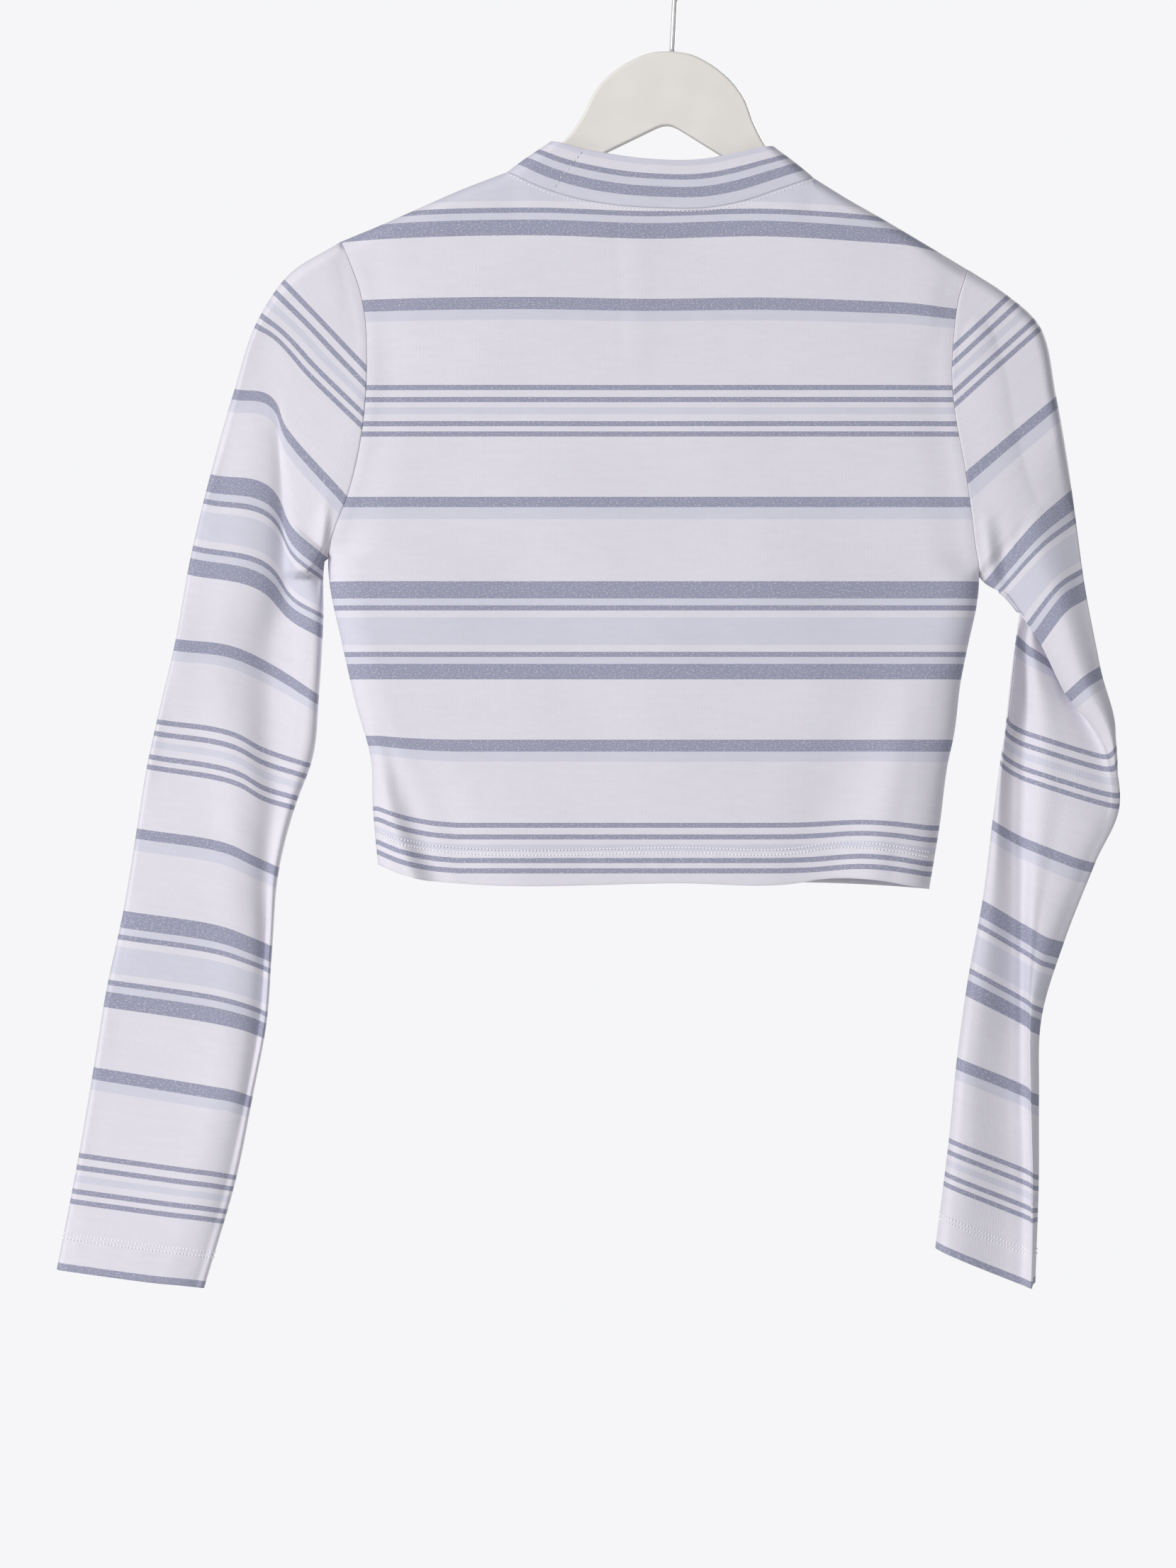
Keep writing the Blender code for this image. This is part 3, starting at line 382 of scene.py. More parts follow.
def left_surface(lengths, place, front):
    """Half of the left sleeve at cloth lengths (rows) and places across it (columns).

    The places run from the outer edge to the armhole, or to the inner edge below the underarm. The
    outline and the trough's sides are curves along the sleeve; the depth is a rounded section with a
    long trough, and at the underarm the upper cloth hangs over the lower in a short lip.
    """
    lengths, place = np.asarray(lengths, float), np.asarray(place, float)
    knots = [row[0] for row in LEFT_SLEEVE]
    depth = smooth(lengths, knots, [row[1] for row in LEFT_SLEEVE])[:, None]
    net = [smooth(lengths, knots, [row[2 + i] for row in LEFT_SLEEVE]) for i in range(len(LEFT_PLACES))]
    cap = np.array(LEFT_CAP, float)
    in_cap = lengths <= cap[-1, 1]
    drop_at = smooth(lengths, cap[:, 1], cap[:, 0])
    rows = (drop_at - cap[0, 0]) / (cap[-1, 0] - cap[0, 0])
    x, y_edge, drop = armhole(np.clip(rows, 0, 1), False, front)
    net[3] = np.where(in_cap[:, None], np.stack([x - SEAM, drop], axis=-1), net[3])
    flat = smooth(place, LEFT_PLACES, np.stack(net))
    flat = np.moveaxis(flat, 0, 1)
    width = np.linalg.norm(net[3] - net[0], axis=1)[:, None]
    near_inner = rounding((1 - place) * width / SHOULDER_ROUND / 1.6)
    kept = np.where(in_cap, np.abs(y_edge), 0)[:, None]
    down = lengths[:, None]
    near_outer = rounding(place * width / (SHOULDER_ROUND - 4.8 * step(down, 120, 180)))
    side = (1 - place) * width
    full = np.maximum(depth * near_outer * near_inner, kept * near_outer)
    eased = near_outer * (kept + (depth - kept) * step(side, -10, 30))
    full = full + step(kept, 1.5, 5) * (eased - full)
    relief = left_folds(down, place, width, front)
    edge = step(place * width, 0, 9) * step((1 - place) * width, 0, 9)
    seam = in_cap[:, None] * step(down, 4, 20)
    relief = relief * np.where(in_cap[:, None] & (side < 9), step(side, 0, 9), edge)
    relief += seam * (0.2 * hill(side, 4.5, 3) - 0.15 * hill(side, 0, 1.3))
    relief += hem_relief(SLEEVE_END - down, place * width + (400 if front else 0), CUFF_HEM) * edge
    if not front:
        relief += underarm_lip(flat[..., 0], flat[..., 1]) * step(side, 0, 4)
    y = np.maximum(full + relief, np.minimum(full, 1.2))
    return np.stack([flat[..., 0], y if front else -y, -flat[..., 1]], axis=-1)


def underarm_lip(x, drop):
    """At the left underarm the upper cloth swells down to a short lip, then drops back under it."""
    lip = 374.5 - 0.09 * np.clip(x + 220, 0, 14) ** 2
    swell = step(drop, lip - 34, lip - 4) * (1 - step(drop, lip, lip + 1.5)) * step(x, -231, -222)
    under = step(drop, lip, lip + 1.5) * (1 - step(drop, lip + 8, lip + 32)) * step(x, -236, -226)
    return (4.4 * swell - 3.2 * under) * (1 - step(x, -208, -203))


def left_folds(down, place, width, front):
    """Folds of the left sleeve in millimetres outwards, by cloth length down and place across."""
    if front:
        relief = -3.0 * hill(place, 0.6, 0.1) * step(down, 90, 190)
        return relief + 0.5 * np.sin(down / 27 + 5 * place)
    centre = smooth(down, (130, 200, 247, 285, 324, 363, 412, 460, 624),
                    (0.62, 0.65, 0.7, 0.77, 0.83, 0.87, 0.92, 0.95, 0.98))
    wide = hill(down, 245, 50)
    deep = step(down, 95, 170) * (1 - 0.5 * step(down, 470, 600))
    relief = -(6.0 + wide) * deep * hill(place, centre, np.where(place < centre, 0.13, 0.11 + 0.14 * wide))
    relief += 1.2 * deep * hill(place, centre - 0.34, 0.13)
    relief += 0.6 * np.sin(down / 31 + 3.5 * place + 0.5) * step(down, 40, 90)
    relief += 0.35 * np.sin(down / 13 - 6 * place) * step(down, 90, 150)
    relief += 1.4 * hill(down - 60 * place, 318, 16) * step(place, 0.35, 0.6)
    return relief


def right_surface(lengths, place):
    """Rings of the right sleeve at cloth lengths (rows) and places round it (columns), 1 at the seam.

    From the seam the places run on round the rear to 3, the outer fold, and then as 0 to 1 over the flap
    to the seam again. Each section is a curve through its own seven points, which are themselves curves
    along the sleeve. Above the underarm the section is open at the armhole.
    """
    lengths, place = np.asarray(lengths, float), np.asarray(place, float)
    knots = [row[0] for row in RIGHT_SLEEVE]
    net = np.stack([smooth(lengths, knots, [row[1 + i] for row in RIGHT_SLEEVE]) for i in range(7)])
    net = np.concatenate([net, net[:1]])
    around = np.where(place > 3, place - 3, place)
    wrapped = np.concatenate([net[5:7], net, net[1:2]])
    closed = np.moveaxis(smooth(around, (-1, -0.5) + RIGHT_PLACES + (3.5,), wrapped), 0, 1)
    cap = np.array(RIGHT_CAP, float)
    drop_at = smooth(lengths, cap[:, 1], cap[:, 0])
    rows = np.clip((drop_at - cap[0, 0]) / (cap[-1, 0] - cap[0, 0]), 0, 1)
    edges = []
    for front in (False, True):
        x, y, drop = armhole(rows, True, front)
        edges.append(np.stack([x + SEAM, y, drop], axis=-1))
    flap = np.moveaxis(smooth(around, RIGHT_PLACES[:3], np.stack([net[0], net[1], edges[0]])), 0, 1)
    rear_knots = np.stack([edges[1], net[4], net[5], net[6], net[7]])
    rear = np.moveaxis(smooth(around, (1,) + RIGHT_PLACES[4:], rear_knots), 0, 1)
    over = (place > 3)[None, :, None]
    ring = np.where(over, flap, rear)
    in_cap = (lengths <= cap[-1, 1])[:, None]
    # The flap keeps a curve of its own down to the elbow, so that its edge is crisp.
    own = np.moveaxis(smooth(around, RIGHT_PLACES[:3], net[:3]), 0, 1)
    crisp = over * (1 - step(lengths, 285, 320))[:, None, None]
    closed = closed + crisp * (own - closed)
    ring = np.where(in_cap[..., None], ring, closed)
    down = lengths[:, None]
    ring = over_arm(ring, around, over[..., 0], down)
    ring[..., 1] += right_folds(down, around, over[..., 0])
    ring[..., 1] -= over[..., 0] * underarm_pocket(ring[..., 0], ring[..., 2]) * step(1 - around, 0, 0.1)
    ring[..., 2] *= -1
    return ring


def over_arm(ring, around, over, down):
    """Near the shoulder a ring bulges evenly round the hanger's arm, whatever its sections say."""
    fold = ring[:, np.argmin(np.abs(around - 3))][:, None]
    full = 10.5 * rounding(np.linalg.norm(ring[..., ::2] - fold[..., ::2], axis=-1) / 8)
    free = np.clip((175 - down) / 50, 0, 1) * rounding(np.abs(around - 1) / 0.1)
    side = np.where(over, -1, 1)
    ring = ring.copy()
    ring[..., 1] += free * side * np.maximum(full - side * ring[..., 1], 0)
    return ring


def right_folds(down, around, over):
    """Folds of the right sleeve in millimetres along +Y, by cloth length down and place around."""
    rear = ~over
    section = smooth(around, (1, 1.12, 1.3, 1.44, 1.5, 1.6, 1.86, 1.96, 2, 2.04, 2.1, 3),
                     (0, -0.4, -1.2, -1.4, 4.0, 3.0, -6.4, -4.6, -1.2, 0, 0, 0))
    narrow = step(down, 400, 480) * (1 - step(around, 1.38, 1.5))
    relief = rear * step(down, 215, 290) * section * (1 - 0.72 * narrow)
    relief = relief - rear * 3.5 * step(down, 420, 500) * hill(around, 1.93, 0.13)
    # The forearm lies well back under the flap's edge.
    beneath = step(down, 165, 200) * (1 - step(down, 285, 345))
    relief = relief + rear * beneath * (6.0 * hill(around, 1.14, 0.15) + 2.8 * hill(around, 1.5, 0.17))
    edge = over * step(down, 150, 185) * (1 - step(down, 290, 330))
    relief = relief + edge * 3.4 * step(around, 0.5, 1)
    upper = over * step(down, 50, 90) * np.sin(np.pi * np.clip(around, 0, 1))
    relief = relief + 0.7 * upper * np.sin(down / 26 + 4 * around)
    ripple = 0.45 * np.sin(down / 15 + 3 * around) * hill(around, 1.8, 0.2)
    return relief + rear * step(down, 300, 340) * ripple


def underarm_pocket(x, drop):
    """At the right underarm the cloth gathers in a short upright fold with a hollow beside it."""
    lean = 0.12 * (drop - 350)
    down = step(drop, 332, 360) * (1 - step(drop, 374, 388))
    return down * (1.8 * hill(x, 179.5 + lean, 3.8) - 1.3 * hill(x, 187.5 + lean, 4.0))


# ---------------------------------------------------------------------------------------------- meshes


def add_mesh(name, points, faces, material, corner_uv=None):
    """A new smooth mesh object from points in millimetres, faces and a UV for each corner of a face."""
    mesh = bpy.data.meshes.new(name)
    mesh.from_pydata(np.asarray(points, float) * MM, [], faces)
    if corner_uv is not None:
        mesh.uv_layers.new(name="cloth").data.foreach_set("uv", np.asarray(corner_uv, float).ravel())
    mesh.polygons.foreach_set("use_smooth", [True] * len(mesh.polygons))
    mesh.materials.append(material)
    mesh.update()
    obj = bpy.data.objects.new(name, mesh)
    bpy.context.scene.collection.objects.link(obj)
    return obj


def grid_faces(index, flip=False):
    """Quads between the rows and columns of a grid of vertex numbers, with repeated corners dropped."""
    quads = np.stack([index[:-1, :-1], index[:-1, 1:], index[1:, 1:], index[1:, :-1]], axis=-1)
    quads = quads.reshape(-1, 4)
    if flip:
        quads = quads[:, ::-1]
    whole = (quads != np.roll(quads, 1, axis=1)).all(axis=1)
    faces = [tuple(q) for q in quads[whole].tolist()]
    for quad in quads[~whole].tolist():
        ring = [v for i, v in enumerate(quad) if v != quad[i - 1]]
        if len(set(ring)) >= 3:
            faces.append(tuple(ring))
    return faces


def numbered(grid):
    """Vertex numbers for a grid of points."""
    return np.arange(grid.shape[0] * grid.shape[1]).reshape(grid.shape[:2])


def used_only(faces, points):
    """Drop the vertices that no face uses, and number the rest again."""
    used = sorted({v for face in faces for v in face})
    number = {v: i for i, v in enumerate(used)}
    return [tuple(number[v] for v in face) for face in faces], points[used]


def thicken(obj):
    """Give a sheet of jersey its thickness inwards."""
    solid = obj.modifiers.new("thickness", "SOLIDIFY")
    solid.thickness = CLOTH * MM
    solid.offset = -1
    solid.use_rim = True
    shading = obj.modifiers.new("even shading", "WEIGHTED_NORMAL")
    shading.weight = 90
    return obj


def finish_piece(obj, slot, *nodes):
    """Fix a piece to the one body and hide the CAD nodes that it stands for; slot is not used."""
    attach(obj, "root")
    if nodes:
        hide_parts(*nodes)
    return obj


def bunched(count, power):
    """Shares from 0 to 1, closer together near 0."""
    return np.linspace(0, 1, count) ** power


def body_columns():
    """Shares across a panel: three runs that meet at the neck's corners."""
    left, right = share_at(NECK_LEFT[0]), share_at(NECK_RIGHT[0])
    start = left * bunched(44, 1.5)
    end = 1 - (1 - right) * bunched(42, 1.5)[::-1][1:]
    return np.concatenate([start, neck_shares(86)[1:], end])


def neck_shares(count):
    """Shares across a panel from one corner of the neck to the other, closer together near both."""
    left, right = share_at(NECK_LEFT[0]), share_at(NECK_RIGHT[0])
    return left + (right - left) * (0.5 - 0.5 * np.cos(np.pi * np.linspace(0, 1, count)))


def body_rows():
    """Rows down a panel, closer together near its upper edge."""
    return np.concatenate([bunched(96, 1.35), 1 + np.linspace(0, 1, 92)[1:]])


def body_panel(front, material):
    """One panel as a sheet, with U across and V down the stripes."""
    rows, share = body_rows()[:, None], body_columns()[None, :]
    points, drop = body_surface(rows, share, front)
    x = points[..., 0]
    shift = body_shift(x, drop) * (0.35 if front else 1)
    v = (drop + shift - BODY_START) * MM + V_START
    u = (x + (900 if front else 0)) * MM
    uv = np.stack([u, v], axis=-1).reshape(-1, 2)
    faces = grid_faces(numbered(points), flip=not front)
    name = "front_cloth" if front else "back_cloth"
    return thicken(add_mesh(name, points.reshape(-1, 3), faces, material, uv[np.concatenate(faces)]))


def left_sleeve(material):
    """The left sleeve as one closed tube below the underarm, open along the armhole above it."""
    underarm = LEFT_CAP[-1][1]
    cap = underarm * bunched(80, 1.25)
    lengths = np.concatenate([cap, np.linspace(underarm, SLEEVE_END, 224)[1:]])
    even = np.linspace(0, 1, 52)
    place = 0.55 * (0.5 - 0.5 * np.cos(np.pi * even)) + 0.45 * even
    rear = left_surface(lengths, place, False)
    fore = left_surface(lengths, place, True)
    grid = np.concatenate([fore[:, :0:-1], rear], axis=1)
    across = np.concatenate([-place[:0:-1], place]) * LEFT_WIDTH + 2
    return sleeve_object("sleeve_left_cloth", grid, across, lengths, len(cap) - 1, True, material)


def right_sleeve(material):
    """The right sleeve, in the same way: from its front armhole edge round the rear to the back one."""
    start, underarm = RIGHT_CAP[0][1], RIGHT_CAP[-1][1]
    cap = start + (underarm - start) * bunched(76, 1.25)
    lengths = np.concatenate([cap, np.linspace(underarm, SLEEVE_END, 230)[1:]])
    rear = np.concatenate([np.linspace(1, 1.12, 7), np.linspace(1.12, 2, 40)[1:], np.linspace(2, 3, 40)[1:]])
    place = np.concatenate([rear, 3 + np.linspace(0, 1, 46)[1:]])
    grid = right_surface(lengths, place)
    across = (place - 1) / 3 * RIGHT_ROUND + 3
    return sleeve_object("sleeve_right_cloth", grid, across, lengths, len(cap) - 1, False, material)


def sleeve_object(name, grid, across, lengths, joined, flip, material):
    """Mesh a sleeve's grid: one point at the shoulder, open to row joined, and closed below it.

    The closing column keeps vertices of its own, so that the UV map runs on, and they are then welded.
    """
    index = numbered(grid)
    welded = index.ravel().copy()
    welded[index[joined:, 0]] = index[joined:, -1]
    index[0] = index[0, 0]
    v = (lengths + SLEEVE_START) * MM + V_START
    uv = np.stack(np.broadcast_arrays(across[None, :], v[:, None]), axis=-1).reshape(-1, 2)
    faces = grid_faces(index, flip=flip)
    corner_uv = uv[np.concatenate(faces)]
    faces = [tuple(welded[list(face)].tolist()) for face in faces]
    faces, points = used_only(faces, grid.reshape(-1, 3))
    return thicken(add_mesh(name, points, faces, material, corner_uv))


def collar_edges(back_edge, front_edge):
    """The band's neck seam and its top fold, as two closed lines round the neck."""
    base = np.concatenate([back_edge, front_edge[-2:0:-1]])
    share = np.clip((base[:, 0] - NECK_LEFT[0]) / (NECK_RIGHT[0] - NECK_LEFT[0]), 0, 1)
    left, right = BACK_COLLAR_TOP[0], BACK_COLLAR_TOP[-1]
    x = left[0] + share * (right[0] - left[0])
    is_front = np.arange(len(base)) >= len(back_edge)
    corner = left[1] + share * (right[1] - left[1])
    droop = (FRONT_COLLAR_DROP - (left[1] + right[1]) / 2) * neck_dip(share)
    drop = np.where(is_front, corner + droop, along(BACK_COLLAR_TOP, x, by=0))
    top = np.stack([x, base[:, 1], -drop], axis=-1)
    for end in (0, len(back_edge) - 1):
        base[end, 1] = 0
        top[end, 1] = 0
    base = np.concatenate([base, base[:1]])
    top = np.concatenate([top, top[:1]])
    return base, top


def collar(back_edge, front_edge, material):
    """The doubled band: outer face, rounded top fold, inner face and the turned lower edge."""
    base, top = collar_edges(back_edge, front_edge)
    up = top - base
    up /= np.linalg.norm(up, axis=1)[:, None]
    base = base + 0.05 * up
    tangent = np.roll(base[:-1], -1, axis=0) - np.roll(base[:-1], 1, axis=0)
    tangent = np.concatenate([tangent, tangent[:1]])
    out = np.cross(up, tangent)
    out /= np.linalg.norm(out, axis=1)[:, None]
    if (out[len(back_edge) // 2] @ [0, -1, 0]) < 0:
        out = -out
    half = COLLAR_WALL / 2
    height = np.linspace(0, 1, 26)
    around = np.cumsum(np.linalg.norm(np.diff(base, axis=0, prepend=base[:1]), axis=1))
    join = hill(base[:, 0], COLLAR_JOIN + 1, 0.9) * (base[:, 1] < 0)
    rise = FOLD_START * (top - base)
    rows = []
    for h in height:
        swell = 0.35 * np.sin(math.pi * min(h / 0.9, 1)) - 0.2 * hill(h, 0, 0.04)
        rows.append(base + h * rise + out * (swell - 0.45 * join)[:, None])
    turns = np.linspace(0, math.pi, 9)[1:-1]
    for angle in turns:
        rows.append(base + rise - out * half * (1 - math.cos(angle)) + up * half * math.sin(angle))
    rows += [base + h * rise - out * COLLAR_WALL for h in height[::-1]]
    rows.append(rows[0])
    grid = np.stack(rows)
    v = (1 - np.concatenate([height, np.ones(len(turns)), height[::-1], [0]])) * COLLAR_HEIGHT * MM
    uv = np.stack(np.broadcast_arrays(around[None, :] * MM + 5, v[:, None]), axis=-1).reshape(-1, 2)
    faces = grid_faces(numbered(grid))
    obj = add_mesh("collar_band", grid.reshape(-1, 3), faces, material, uv[np.concatenate(faces)])
    weld = obj.modifiers.new("weld", "WELD")
    weld.merge_threshold = 0.00002
    return obj, base, top, out


def run_length(line):
    """How far along a polyline each of its points lies."""
    return np.concatenate([[0], np.cumsum(np.linalg.norm(np.diff(line, axis=0), axis=1))])


def hanger_outline(steps=9):
    """The hanger's outline in its own frame, with smooth curves between its points."""
    upper = np.array(HANGER_UPPER, float)
    t = run_length(upper)
    fine = [np.linspace(a, b, steps, endpoint=False) for a, b in zip(t[:-1], t[1:])]
    arm = smooth(np.concatenate(fine + [t[-1:]]), t, upper)
    arm[:, 1] = np.maximum(arm[:, 1], 0)
    lower = np.array(HANGER_LOWER, float)
    centre = (upper[-1] + lower[-1]) / 2
    radius = np.linalg.norm(upper[-1] - lower[-1]) / 2
    start = math.atan2(upper[-1][1] - centre[1], upper[-1][0] - centre[0])
    turn = start + np.linspace(0, math.pi, 14)[1:-1]
    tip = centre + radius * np.stack([np.cos(turn), np.sin(turn)], axis=-1)
    s = np.linspace(0, 1, 40)[:, None]
    # The lower edge runs in along the arm, then up to the notch's rounded top.
    apex = np.array([[9.0, 46.5], [6.0, 44.9], [3.0, 43.7], [0, 43.3]])
    inwards = lower[2] + s * (lower[1] - lower[2])
    upwards = lower[1] + s[1::3] * (apex[0] - lower[1])
    under = np.concatenate([inwards, upwards, apex[1:]])
    half = np.concatenate([arm, tip, under])
    mirrored = half[-2:0:-1] * [-1, 1]
    return np.concatenate([half, mirrored])


def hanger(material):
    """A flat body with rounded edges: rings drawn in from the outline, then two flat faces."""
    outline = hanger_outline()
    tangent = np.roll(outline, -1, axis=0) - np.roll(outline, 1, axis=0)
    tangent /= np.linalg.norm(tangent, axis=1)[:, None]
    inward = np.stack([-tangent[:, 1], tangent[:, 0]], axis=-1)
    half, edge = HANGER_THICKNESS / 2, HANGER_EDGE
    angles = np.linspace(0, math.pi / 2, 8)
    rings = []
    for side in (-1, 1):
        for angle in (angles[::-1] if side < 0 else angles):
            flat = outline + inward * edge * (1 - math.cos(angle))
            y = side * (half - edge + edge * math.sin(angle))
            rings.append(np.column_stack([flat, np.full(len(flat), y)]))
    rings = np.array(rings)
    a, b = rings[..., 0], rings[..., 1]
    x = HANGER_TOP[0] + a * math.cos(HANGER_TILT) - b * math.sin(HANGER_TILT)
    z = -HANGER_TOP[1] - a * math.sin(HANGER_TILT) - b * math.cos(HANGER_TILT)
    grid = np.stack([x, rings[..., 2], z], axis=-1)
    grid = np.concatenate([grid, grid[:, :1]], axis=1)
    index = numbered(grid)
    index[:, -1] = index[:, 0]
    faces = grid_faces(index)
    faces.append(tuple(index[0, :-1][::-1].tolist()))
    faces.append(tuple(index[-1, :-1].tolist()))
    faces, points = used_only(faces, grid.reshape(-1, 3))
    obj = add_mesh("hanger_body", points, faces, material)
    obj.data.polygons.foreach_set("use_smooth", [len(p.vertices) < 5 for p in obj.data.polygons])
    obj.modifiers.new("even shading", "WEIGHTED_NORMAL")
    return obj


def hook_line():
    """The wire's centre line: a straight stem, an easy bend, then the round hook about its own centre."""
    centre = np.array([0, 0, HOOK_WIRE / 2 - HOOK_RADIUS])
    angles = np.radians(np.linspace(HOOK_START, HOOK_END, 90))
    round_part = centre + HOOK_RADIUS * np.stack([np.cos(angles), 0 * angles, np.sin(angles)], axis=-1)
    foot = np.array([HANGER_TOP[0], 0, -HANGER_TOP[1] + 0.3])
    lean = np.array([math.sin(HANGER_TILT), 0, math.cos(HANGER_TILT)])
    stem = foot + lean * np.linspace(0, HOOK_STEM, 20)[:, None]
    bend = np.linspace(0, 1, 26)[1:-1, None]
    slope = np.array([-math.sin(angles[0]), 0, math.cos(angles[0])])
    reach = np.linalg.norm(round_part[0] - stem[-1])
    curve = ((2 * bend**3 - 3 * bend**2 + 1) * stem[-1] + (bend**3 - 2 * bend**2 + bend) * reach * lean
             + (3 * bend**2 - 2 * bend**3) * round_part[0] + (bend**3 - bend**2) * reach * slope)
    return np.concatenate([stem, curve, round_part])


def tube(line, radii, sides):
    """Rings round a line in the plane y = 0, with the given radius at each point, closed at both ends."""
    tangent = np.gradient(line, axis=0)
    tangent /= np.linalg.norm(tangent, axis=1)[:, None]
    side = np.cross(tangent, [0, 1, 0])
    turn = np.linspace(0, 2 * math.pi, sides, endpoint=False)
    ring = (np.cos(turn)[None, :, None] * side[:, None] + np.sin(turn)[None, :, None] * np.array([0, 1, 0]))
    grid = line[:, None] + ring * np.asarray(radii)[:, None, None]
    index = numbered(grid)
    faces = grid_faces(np.concatenate([index, index[:, :1]], axis=1), flip=True)
    faces += [tuple(index[0].tolist()), tuple(index[-1][::-1].tolist())]
    return grid.reshape(-1, 3), faces


def hook(material):
    """The wire hook, whose last stretch tapers to a rounded tip."""
    line = hook_line()
    radii = np.full(len(line), HOOK_WIRE / 2)
    radii[-6:] = HOOK_WIRE / 2 * np.sqrt(1 - np.linspace(0, 0.93, 6) ** 2)
    points, faces = tube(line, radii, 20)
    return add_mesh("hook_wire", points, faces, material)


def stitches(name, points, tangents, normals, length, width, proud):
    """A row of stitches: each is a small closed grain along its own tangent, half sunk into the cloth.

    A grain is a stack of six-sided rings, whose radius follows a semicircle squared off towards the ends.
    """
    ring = np.linspace(-1, 1, 5)
    radius = np.array([0.35, 0.9, 1, 0.9, 0.35])
    turn = np.linspace(0, 2 * math.pi, 6, endpoint=False)
    tangents = tangents / np.linalg.norm(tangents, axis=1)[:, None]
    normals = normals - (normals * tangents).sum(1)[:, None] * tangents
    normals /= np.linalg.norm(normals, axis=1)[:, None]
    side = np.cross(tangents, normals)
    t = (ring * length / 2)[None, :, None, None] * tangents[:, None, None, :]
    a = (radius[:, None] * np.cos(turn))[None, :, :, None] * (width / 2) * side[:, None, None, :]
    b = (radius[:, None] * np.sin(turn))[None, :, :, None] * (width / 2) * normals[:, None, None, :]
    lift = (proud * (1 - 0.8 * ring**2))[None, :, None, None] * normals[:, None, None, :]
    grid = points[:, None, None, :] + t + a + b + lift
    index = numbered(grid[0])
    first = np.arange(len(points))[:, None, None] * index.size
    quads = np.array(grid_faces(np.concatenate([index, index[:, :1]], axis=1), flip=True)) + first
    caps = np.array([index[0], index[-1][::-1]]) + first
    faces = quads.reshape(-1, 4).tolist() + caps.reshape(-1, len(turn)).tolist()
    return add_mesh(name, grid.reshape(-1, 3), faces, thread_material())


def evenly(line, spacing):
    """Places at even spacing along a polyline, as fractional indices into it."""
    length = run_length(line)
    count = max(int(length[-1] / spacing), 2)
    return np.interp((np.arange(count) + 0.5) / count * length[-1], length, np.arange(len(line)))


def on_surface(evaluate, spacing):
    """Points, tangents and normals of a row of stitches, whose line is evaluate(offset across the row)."""
    line, above = evaluate(0.0), evaluate(1.0)
    at = evenly(line, spacing)
    whole = np.arange(len(line))
    tangent = np.gradient(line, axis=0)
    rows = (line, tangent, np.cross(tangent, above - line))
    return [np.stack([np.interp(at, whole, row[:, k]) for k in range(3)], axis=-1) for row in rows]


# ------------------------------------------------------------------------------------------- materials


class Nodes:
    """A material's node tree, with short calls that add a node and link what is given to its inputs."""

    def __init__(self, name):
        self.material = bpy.data.materials.new(name)
        self.material.use_nodes = True
        self.tree = self.material.node_tree
        self.tree.nodes.clear()
        self.out = self.tree.nodes.new("ShaderNodeOutputMaterial")
        self.shader = self.add("ShaderNodeBsdfPrincipled")
        self.tree.links.new(self.shader.outputs[0], self.out.inputs[0])

    def put(self, socket, value):
        """Link or set an input."""
        if isinstance(value, bpy.types.NodeSocket):
            self.tree.links.new(value, socket)
        elif hasattr(value, "__len__") and hasattr(socket.default_value, "__len__"):
            socket.default_value = (tuple(value) + (1.0,))[:len(socket.default_value)]
        else:
            socket.default_value = value

    def add(self, kind, inputs=(), **settings):
        """A new node with its settings and inputs."""
        node = self.tree.nodes.new(kind)
        for key, value in settings.items():
            setattr(node, key, value)
        for key, value in dict(inputs).items():
            self.put(node.inputs[key], value)
        return node

    def math(self, operation, a, b=0.0, c=0.0):
        """One step of arithmetic."""
        return self.add("ShaderNodeMath", {0: a, 1: b, 2: c}, operation=operation).outputs[0]

    def vector(self, x, y, z=0.0):
        """Three values as one vector, or one colour."""
        return self.add("ShaderNodeCombineXYZ", {0: x, 1: y, 2: z}).outputs[0]

    def noise(self, vector, scale, detail=2.0, roughness=0.5):
        """Noise from 0 to 1, mostly near 0.5."""
        inputs = {"Vector": vector, "Scale": scale, "Detail": detail, "Roughness": roughness}
        return self.add("ShaderNodeTexNoise", inputs).outputs["Fac"]

    def spread(self, value, low, high, to_low=0.0, to_high=1.0):
        """Ease a value from one range into another."""
        inputs = {0: value, 1: low, 2: high, 3: to_low, 4: to_high}
        return self.add("ShaderNodeMapRange", inputs, interpolation_type="SMOOTHSTEP").outputs[0]

    def mix(self, share, a, b, blend="MIX"):
        """Two colours mixed by a share of the second."""
        node = self.add("ShaderNodeMix", data_type="RGBA", blend_type=blend)
        for key, value in ((0, share), (6, a), (7, b)):
            self.put(node.inputs[key], value)
        return node.outputs[2]

    def toned(self, colour, tone):
        """The colour, lighter or darker by a tone near 1."""
        return self.mix(1.0, colour, self.vector(tone, tone, tone), "MULTIPLY")

    def surface(self, **values):
        """Set or link the shader's own inputs."""
        names = {"colour": "Base Color", "roughness": "Roughness", "normal": "Normal",
                 "sheen": "Sheen Weight", "sheen_roughness": "Sheen Roughness", "ior": "IOR",
                 "specular": "Specular IOR Level", "metallic": "Metallic", "coat": "Coat Weight",
                 "coat_roughness": "Coat Roughness"}
        for key, value in values.items():
            self.put(self.shader.inputs[names[key]], value)

    def bump(self, height, strength, distance):
        """A normal that makes the surface look raised by a height."""
        inputs = {"Height": height, "Strength": strength, "Distance": distance}
        return self.add("ShaderNodeBump", inputs).outputs[0]


